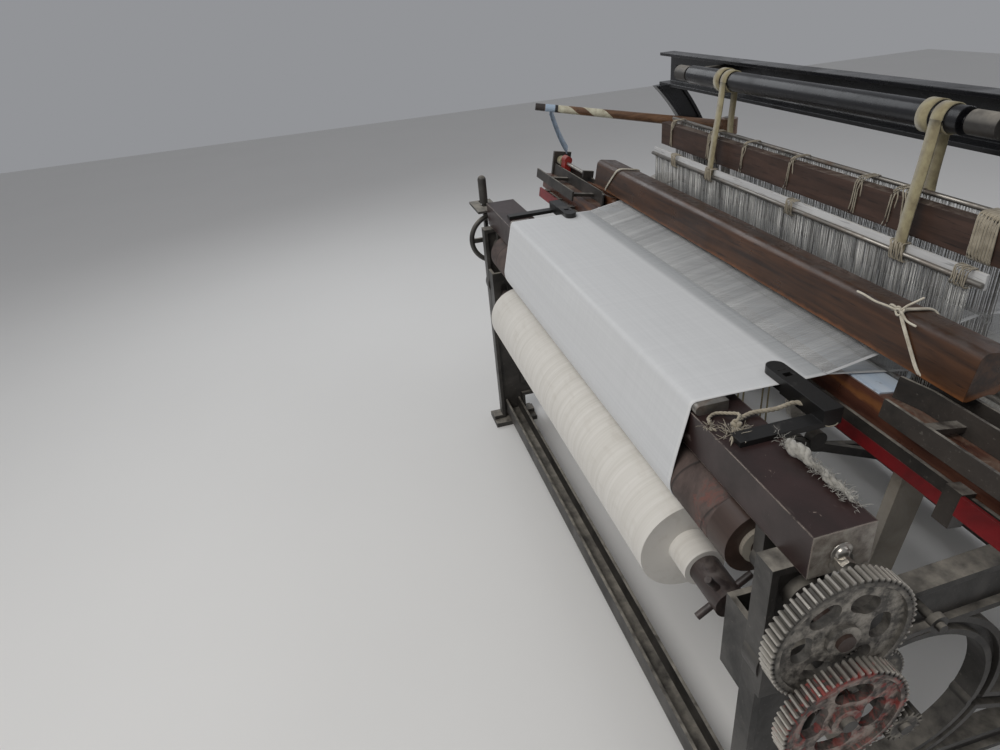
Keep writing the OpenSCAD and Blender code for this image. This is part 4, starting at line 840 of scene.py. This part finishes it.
def makeCapTies():
    # a cord slung twice round the reed cap at each end, slanting over its front; the right one is knotted on
    # the cap's upper front edge, with a loop beside the knot, and its loose ends stand off from the knot
    a = np.linspace(0, 2 * np.pi * capTie["turns"], 110)
    y, z = squared(a, 0.3)
    across = (capTie["top"] + capTie["bottom"]) / 2 - (capTie["bottom"] - capTie["top"]) / 2 * z
    creep = capTie["turns"] * capTie["pitch"] * a / a[-1]
    (midY, midZ), (halfY, halfZ), cordR = capTie["middle"], capTie["half"], capTie["cordR"]
    y, z = midY + halfY * y, midZ + halfZ * z
    shapes = [oneTube(onSley(np.column_stack([side * across + creep, y, z])), cordR) for side in (1, -1)]
    knot = onSley([capTie["knot"]])[0]
    shapes.append(knotted(knot, capTie["knotSize"], 2.4, 60, 0.5, cordR, 7))
    sweep = np.linspace(-0.2 * np.pi, 1.75 * np.pi, 34)
    ring = capTie["loopR"] * np.column_stack([np.cos(sweep), -0.375 * np.sin(sweep), 0.7 * np.sin(sweep)])
    shapes.append(oneTube(knot + np.array(capTie["loopAt"]) + ring, cordR, 7))
    dress(joined("capCords", shapes), "sley", "leather", capCotton)
    for name, points in capTie["ends"].items():
        line = smoothPath(knot + np.array(points), 40)
        finishCord(joined(name, [oneTube(line, cordR, 7)]), "sley", capCotton)


treadleCords = {"radius": 0.0030, "perMetre": 55.0, "foot": 0.2845, "steps": 90,
                "front": {"y": place["frontHeald"][0] + 0.0084, "top": 0.6465, "x": (-0.046, -0.020)},
                "rear": {"y": place["rearHeald"][0] - 0.027, "top": 0.7665, "x": (0.020, 0.046)}}


def makeTreadleCords():
    # two cords for each shaft of healds run down from its lower lath or stave to its treadle
    radius, steps = treadleCords["radius"], treadleCords["steps"]
    for which in ("front", "rear"):
        cord = treadleCords[which]
        for k, x in enumerate(cord["x"]):
            z = np.linspace(cord["top"], treadleCords["foot"], steps)
            line = np.column_stack([np.full(steps, x), np.full(steps, cord["y"]), z])
            rope = twisted(line, radius, treadleCords["perMetre"])
            made = joined("%sTreadleCord%d" % (which, k + 1), [rope])
            finishCord(made, which + "_healds", finishes["leather"])


band = {"share": 0.925, "below": 0.007, "slack": 0.014, "halfWidth": 0.016, "halfThick": 0.0012, "steps": 40}


def makeBands():
    # blue webbing from each stick's pale band down to its picker: a straight line less slack sin(pi t)
    root, end = np.array(place["stickRoot"]), np.array(place["stickTip"])
    tip = root + band["share"] * (end - root) - np.array([0, 0, band["below"]])
    hook = np.array(place["bandHook"])
    t = np.linspace(0, 1, band["steps"])[:, None]
    line = tip + (hook - tip) * t - np.array([0, 0, band["slack"]]) * np.sin(np.pi * t)
    first, second = squareTo(line)
    wide, deep = band["halfWidth"] * second, band["halfThick"] * first
    corners = [line + i * wide + j * deep for i, j in ((-1, -1), (1, -1), (1, 1), (-1, 1))]
    points, faces = np.stack(corners, axis=1).reshape(-1, 3), strapFaces(len(line))
    made = joined("pickingWebbing", [(points * (side, 1, 1), faces[:, ::side]) for side in (1, -1)])
    coat(made, "blue_band")
    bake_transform(made)
    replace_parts(made, "picking_bands")


endBolt = {"at": (0.8972, -0.5600, 0.8420), "washerR": 0.0165, "headR": 0.0105, "headT": 0.0090, "sides": 32}


def makeEndBolt():
    # worn round head on a washer: a turned profile of (height, radius) pairs swept round the X axis
    t, r, w = endBolt["headT"], endBolt["headR"], endBolt["washerR"]
    profile = np.array([(0, 0.0002), (0, w), (0.0018, w), (0.0024, w - 0.0008), (0.0024, r + 0.0008),
                        (0.0034, r), (t - 0.003, r), (t - 0.0008, 0.75 * r), (t, 0.35 * r),
                        (t + 0.0001, 0.0002)])
    a = np.linspace(0, 2 * np.pi, endBolt["sides"], endpoint=False)
    height, radius = profile[:, :1], profile[:, 1:]
    points = np.stack(np.broadcast_arrays(height, radius * np.cos(a), radius * np.sin(a)), axis=-1)
    faces = gridFaces(len(profile), endBolt["sides"], closeColumns=True)[:, ::-1]
    made = joined("beamEndBolt", [((points + np.array(endBolt["at"])).reshape(-1, 3), faces)])
    dress(made, "framing", "bright_steel")


makeEndBolt()
makeRopes()
makeRopeKnot()
makeLashing()
makeWaste()
print("ropes tied")
makeCapTies()
print("cap cords tied")
makeTreadleCords()
print("treadle cords hung")
makeBands()
print("picking bands hung")


# warp threads: each sheet is two pieces, one on each side of its heald eyes

warp = {"pitch": 0.0019, "radius": 0.00040, "sides": 3, "frontSteps": 8, "straightSteps": 12, "margin": 0.004,
        "shift": 0.00022, "edgeEnds": 9, "down": math.radians(11.66), "overRest": (0.485, 0.890)}


def threadPlaces(seed):
    # thread places across the cloth: evenly spaced, each moved a little, and close at both selvedges
    count = int((place["clothW"] - 2 * warp["margin"]) / warp["pitch"])
    shift = np.random.default_rng(seed).normal(0, warp["shift"], count)
    body = (np.arange(count) - (count - 1) / 2 + 0.5 * (seed % 2)) * warp["pitch"] + shift
    edge = place["clothW"] / 2 - np.linspace(0.0006, 0.0066, warp["edgeEnds"])
    return np.sort(np.concatenate([-edge, body, edge]))


def threadSheet(name, line, seed):
    # every thread follows the same line of (y, z) points at its own place across the loom
    x = threadPlaces(seed)
    paths = np.zeros((len(x), len(line), 3))
    paths[..., 0] = x[:, None]
    paths[..., 1:] = line[None]
    made = joined(name, [tubeShape(paths, warp["radius"], warp["sides"], True)])
    coat(made, "cotton_yarn")
    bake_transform(made)
    return made


def backLine(eye):
    # straight from the eye to the back rest, round it, and down on to the yarn, along common tangents
    bar, roll = np.array(place["restBar"]), np.array(place["warpCore"])
    barR, yarnR = place["restR"] + 0.0010, place["yarnR"] + 0.0008
    gap = bar - np.array(eye)
    rise = math.atan2(gap[1], gap[0]) + math.asin(barR / np.linalg.norm(gap))
    bend = np.linspace(math.pi / 2 + rise, warp["down"], 9)
    over = arc(bar, barR, bend)
    wrap = np.linspace(warp["down"], warp["down"] - 0.5, 5)
    on = arc(roll, yarnR, wrap)
    straight = np.array(eye) + (over[0] - np.array(eye)) * np.linspace(0, 1, warp["straightSteps"])[:-1, None]
    return np.vstack([straight, over, on])


def makeWarp():
    fell = np.array([place["fell"][0] + 0.0005, place["fell"][1]])
    for name, eye, body, seed in (("upper", place["rearHeald"], "rear_healds", 11),
                                  ("lower", place["frontHeald"], "front_healds", 12)):
        front = fell + (np.array(eye) - fell) * np.linspace(0, 1, warp["frontSteps"])[:, None]
        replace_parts(threadSheet(name + "WarpFront", front, seed), name + "_warp")
        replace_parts(threadSheet(name + "WarpBack", backLine(eye), seed), name + "_warp")
    print("warp threads drawn:", 2 * len(threadPlaces(11)))


makeWarp()


# healds and reed, wire by wire

wires = {"heald": 330, "healdR": 0.00050, "rodR": 0.005, "reed": 520, "reedR": 0.00042,
         "ribs": ((0, 0.0055), (0.0595, 0.080))}


def makeHealds():
    # a heald is two strands side by side, 0.4 mm from its middle line, that part to 1.6 mm to form the eye
    shares = np.array([0.0, 0.28, 0.465, 0.487, 0.5, 0.513, 0.535, 0.72, 1.0])
    parted = np.array([0.9, 0.4, 0.45, 1.1, 1.6, 1.1, 0.45, 0.4, 0.9]) / 1000
    half, count = place["staveL"] / 2, wires["heald"]
    for which in ("front", "rear"):
        node, (y, z) = which + "_healds", place[which + "Heald"]
        bottom = z - place["healdH"] / 2
        x = (np.arange(count) - (count - 1) / 2) * (2 * half - 0.040) / count
        x = x + np.random.default_rng(31).normal(0, 0.0010, count)
        lines = np.zeros((2, count, len(shares), 3))
        lines[..., 0] = x[None, :, None] + np.array([-1, 1])[:, None, None] * parted[None, None, :]
        lines[..., 1] = y + np.random.default_rng(32).normal(0, 0.0006, count)[None, :, None]
        lines[..., 2] = bottom + place["healdH"] * shares
        lines = lines.reshape(-1, len(shares), 3)
        made = joined(which + "HealdWires", [tubeShape(lines, wires["healdR"], 3, True)])
        dress(made, node, "heald_wire")
        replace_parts(made, node)
        rods = [[(end, y, at) for end in (-half, 0, half)] for at in (bottom, bottom + place["healdH"])]
        made = joined(which + "HealdRods", [tubeShape(rods, wires["rodR"], 12, True)])
        dress(made, node, "heald_wire", finishes["worn_steel"])
        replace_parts(made, node)
    print("healds threaded:", 2 * count)


def makeReed():
    # square wires between two ribs that run the whole length of the reed, and a bar at each end
    half, foot, count = place["reedL"] / 2, place["sleyTop"], wires["reed"]
    lines = np.zeros((count, 2, 3))
    lines[..., 0] = ((np.arange(count) - (count - 1) / 2) * (2 * half - 0.020) / count)[:, None]
    lines[..., 2] = np.array([foot + 0.002, foot + 0.064])
    shapes = [tubeShape(lines, wires["reedR"], 4, True)]
    shapes += [box((-half, -0.003, foot + low), (half, 0.003, foot + high)) for low, high in wires["ribs"]]
    shapes += mirrored((half - 0.008, -0.003, foot), (half, 0.003, foot + 0.070))
    made = joined("reedWires", leant(shapes), smooth=False)
    dress(made, "sley", "reed_wire")
    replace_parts(made, "reed")
    print("reed set:", count)


makeHealds()
makeReed()


# leather straps, their rings on the roller, and the cord bindings on staves and rods

straps = {"thick": 0.0030, "ringThick": 0.0028, "wave": 0.0012, "gap": 0.0018, "steps": 14,
          "front": {"radius": place["rollerR"], "rod": (place["frontHeald"][0] - 0.0025, 1.0362), "side": -1,
                    "shift": 0.0},
          "rear": {"radius": place["packR"], "rod": (place["rearHeald"][0] + 0.0025, 1.1330), "side": 1,
                   "shift": -0.031}}


def makeStraps():
    # two straps a shaft run from the roller's side down to the rod, and each has a ring round the roller
    roller = np.array(place["roller"])
    for which in ("front", "rear"):
        strap = straps[which]
        radius = strap["radius"] + straps["gap"]
        start, rod = roller + np.array([strap["side"] * radius, 0]), np.array(strap["rod"])
        line = start + (rod - start) * np.linspace(0, 1, straps["steps"])[:, None]
        line[:, 0] += straps["wave"] * np.sin(np.linspace(0, 2 * np.pi, straps["steps"]))
        spans = [(x + strap["shift"], x + strap["shift"] + place["strapW"]) for x in place["strapX"]]
        made = joined(which + "Straps", [ribbon(line, *span, straps["thick"]) for span in spans])
        coat(made, "leather")
        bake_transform(made)
        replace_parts(made, which + "_straps")
        ring = arc(roller, radius, np.linspace(0, 2 * np.pi, 49))
        made = joined(which + "StrapRings", [ribbon(ring, *span, straps["ringThick"]) for span in spans])
        dress(made, "heald_roller", "leather")
    print("straps hung")


# stave and lath, each with its rod, are given by low and high corners (y, z); a front binding is x, width and
# turns, and a rear one has its lean too
bindings = {
    "stave": ((-0.0805, 1.0570), (-0.0310, 1.1395)), "lath": ((-0.1145, 1.0215), (-0.0930, 1.0560)),
    "rear": [(0.030, 0.014, 2, 0.016), (0.252, 0.022, 3, 0.011), (0.352, 0.016, 2, 0.013),
             (0.388, 0.024, 3, -0.010), (-0.165, 0.012, 2, 0.012), (-0.338, 0.018, 3, 0.010),
             (-0.306, 0.016, 2, -0.014), (-0.556, 0.014, 3, 0.008)],
    "front": [(x + place["strapW"] / 2 - 0.018, 0.036, 9) for x in place["strapX"]]
    + [(0.085, 0.030, 6), (-0.480, 0.030, 6), (0.560, 0.034, 7)],
}


def makeBindings():
    # cord bound round the rear stave and its rod, and round the front lath and its rod
    shapes = [wound(x, w, *bindings["stave"], turns, 0.0014, lean) for x, w, turns, lean in bindings["rear"]]
    shapes.append(wound(0.552, 0.046, (-0.0815, 1.0560), (-0.0310, 1.1405), 22, 0.0017, 0.002, 5))
    for k, (x, w, _, _) in enumerate(bindings["rear"]):  # knotted on top, a loose tail over the front edge
        knot = np.array([x + w / 2, -0.0700, 1.1285])
        shapes.append(knotted(knot, (0.0045, 0.0038, 0.0022), 1.8, 30, k, 0.0016, 6))
        tail = [(0, 0, 0), (0.012, -0.008, 0.003), (0.020, -0.014, -0.006),
                (0.024 - 0.003 * k, -0.0155, -0.026)]
        shapes.append(oneTube(smoothPath(knot + np.array(tail), 16), 0.0012, 5))
    dress(joined("staveBindings", shapes), "rear_healds", "leather", cottonCord)
    shapes = [wound(x, w, *bindings["lath"], turns, 0.0013, 0.003 * (-1) ** k, 5)
              for k, (x, w, turns) in enumerate(bindings["front"])]
    dress(joined("lathBindings", shapes), "front_healds", "leather", cottonCord)
    print("bindings wound")


makeStraps()
makeBindings()


# red iron along the foot of the sley's front, broken by a dark bracket, and its brighter outer part

sleyIron = {"inner": 0.8300, "bracket": 0.8600, "outer": 1.150, "back": -0.0905, "front": -0.0823,
            "hangers": (0.96, 1.10), "hangerW": 0.020}


def makeSleyIron():
    # upright flats in the sley's own frame, turned back by its lean
    low, high = sleyIron["back"], sleyIron["front"]
    inner, bracket, outer = sleyIron["inner"], sleyIron["bracket"], sleyIron["outer"]
    red = [box((-inner, low, 0.650), (inner, high, 0.673))]
    red += mirrored((bracket, -0.1110, 0.666), (outer, -0.1040, 0.700))
    made = joined("sleyIron", leant(red), smooth=False)
    finish = castIron("sleyRed", (0.25, 0.014, 0.018), (0.26, 0.17, 0.15), (0.085, 0.008, 0.009),
                      dustiness=0.16, gloss=0.30)
    dress(made, "sley", "red_picker", finish)
    # painted shade: the first dark box, along the whole sley just above the red flat, is the flat's shadowed
    # upper part painted as dark iron; the brackets and hangers after it are real dark iron
    dark = [box((-outer, low + 0.001, 0.673), (outer, high + 0.0006, 0.694))]
    dark += mirrored((inner, -0.1090, 0.640), (bracket, high + 0.0006, 0.702))
    for x in sleyIron["hangers"]:
        dark += mirrored((x, -0.1040, 0.688), (x + sleyIron["hangerW"], high + 0.0006, 0.698))
    made = joined("sleyIronHangersAndShade", leant(dark), smooth=False)
    dress(made, "sley", "box_iron")
    print("sley iron bolted")


makeSleyIron()


# the woven cloth

cloth = {"acrossSteps": 150, "alongSteps": 170, "seat": 0.0004, "thick": 0.0008, "ripple": 0.0012}


def clothPath():
    # The line that the cloth follows: fell, over the rail, round its nose, straight down, round the roller.
    seat = cloth["seat"] + cloth["thick"] / 2
    turn = np.array([place["beamY"] + place["railH"] / 2, place["beamTop"] + place["railH"] / 2])
    emery = np.array(place["emery"])
    small, big = place["railH"] / 2 + seat, place["emeryR"] + seat
    drop = emery - turn
    tilt = math.asin((big - small) / np.linalg.norm(drop))
    lean = math.degrees(math.atan2(drop[1], drop[0]) - tilt) + 270
    overRail = (place["beamY"] + 0.062, place["beamTop"] + place["railH"] + seat)
    nose = arc(turn, small, np.radians(np.linspace(90, lean, 12)))
    under = arc(emery, big, np.radians(np.linspace(lean, 262, 22)))
    return np.vstack([[place["fell"]], [overRail], nose, under])


def evenly(line, count):
    # The same line with count points an equal length apart, and the length run at each.
    run = lengthRun(line)
    at = np.linspace(0, run[-1], count)
    return np.column_stack([np.interp(at, run, line[:, k]) for k in range(line.shape[1])]), at


def makeCloth():
    # The sheet leaves its line by ripple times a wave, sin(9 x + 7 run) + 0.6 sin(23 x - 11 run), 0.7 of it
    # where the cloth hangs free, 0.35 where it lies flat, and none where it bends.
    line, run = evenly(clothPath(), cloth["alongSteps"])
    rows, columns = cloth["alongSteps"], cloth["acrossSteps"]
    u = np.linspace(0, 1, columns)
    x = (u - 0.5) * place["clothW"]
    out = squareOff(line)
    hanging = np.clip((run - 0.29) / 0.05, 0, 1) * np.clip((0.41 - run) / 0.03, 0, 1)
    flat = np.clip(run / 0.04, 0, 1) * np.clip((0.19 - run) / 0.04, 0, 1)
    wave = np.sin(9.0 * x[None, :] + 7 * run[:, None]) + 0.6 * np.sin(23.0 * x[None, :] - 11 * run[:, None])
    lift = cloth["ripple"] * (0.7 * hanging + 0.35 * flat)[:, None] * wave
    points = np.zeros((rows, columns, 3))
    points[..., 0] = x[None, :]
    points[..., 1:] = line[:, None] - out[:, None] * lift[..., None]
    uv = np.stack(np.broadcast_arrays((u * place["clothW"])[None, :], run[:, None]), axis=-1).reshape(-1, 2)
    made = makeMesh("clothSheet", points, gridFaces(rows, columns), uv=uv)
    thick = made.modifiers.new("thickness", "SOLIDIFY")
    thick.thickness = cloth["thick"]
    thick.offset = 0.0
    dress(made, "framing", "white_cloth")
    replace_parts(made, "woven_cloth")
    print("cloth laid")


makeCloth()


# floor, light and world; a lamp is its place, width, power and colour

stage = {
    "half": 9.0, "floor": (0.78, 0.77, 0.75), "sky": (0.93, 0.95, 1.0, 1), "world": 0.31, "aim": (0, 0, 0.7),
    "lamps": {
        "keyLight": ((1.2, -2.6, 3.6), 2.4, 70.0, (1.0, 0.98, 0.95)),
        "fillLight": ((-2.8, -1.2, 3.0), 2.8, 29.0, (0.94, 0.97, 1.0)),
        "rimLight": ((0.6, 3.0, 3.2), 2.6, 27.0, (0.97, 0.98, 1.0)),
    },
}


def makeStage():
    half = stage["half"]
    corners = [(-half, -half, 0), (half, -half, 0), (half, half, 0), (-half, half, 0)]
    floor = makeMesh("floor", corners, [[0, 1, 2, 3]], smooth=False)
    s = Shader("floorPlaster", roughness=0.85)
    colour = s.mix(s.noise(1.6, 4.0, 0.5), stage["floor"], tuple(0.96 * c for c in stage["floor"]))
    floor.data.materials.append(s.finish(colour, None, s.bump(s.noise(90.0), 0.05, 0.001)))
    world = bpy.data.worlds.new("studio")
    bpy.context.scene.world = world
    world.use_nodes = True
    back = world.node_tree.nodes["Background"]
    back.inputs["Color"].default_value = stage["sky"]
    back.inputs["Strength"].default_value = stage["world"]
    for name, (where, size, power, colour) in stage["lamps"].items():
        data = bpy.data.lights.new(name, "AREA")
        data.shape, data.size, data.energy, data.color = "DISK", size, power, colour
        lamp = bpy.data.objects.new(name, data)
        bpy.context.scene.collection.objects.link(lamp)
        lamp.location = where
        lamp.rotation_mode = "QUATERNION"
        lamp.rotation_quaternion = (Vector(where) - Vector(stage["aim"])).to_track_quat("Z", "Y")
    bpy.context.scene.view_settings.view_transform = "Standard"
    print("stage lit")


makeStage()
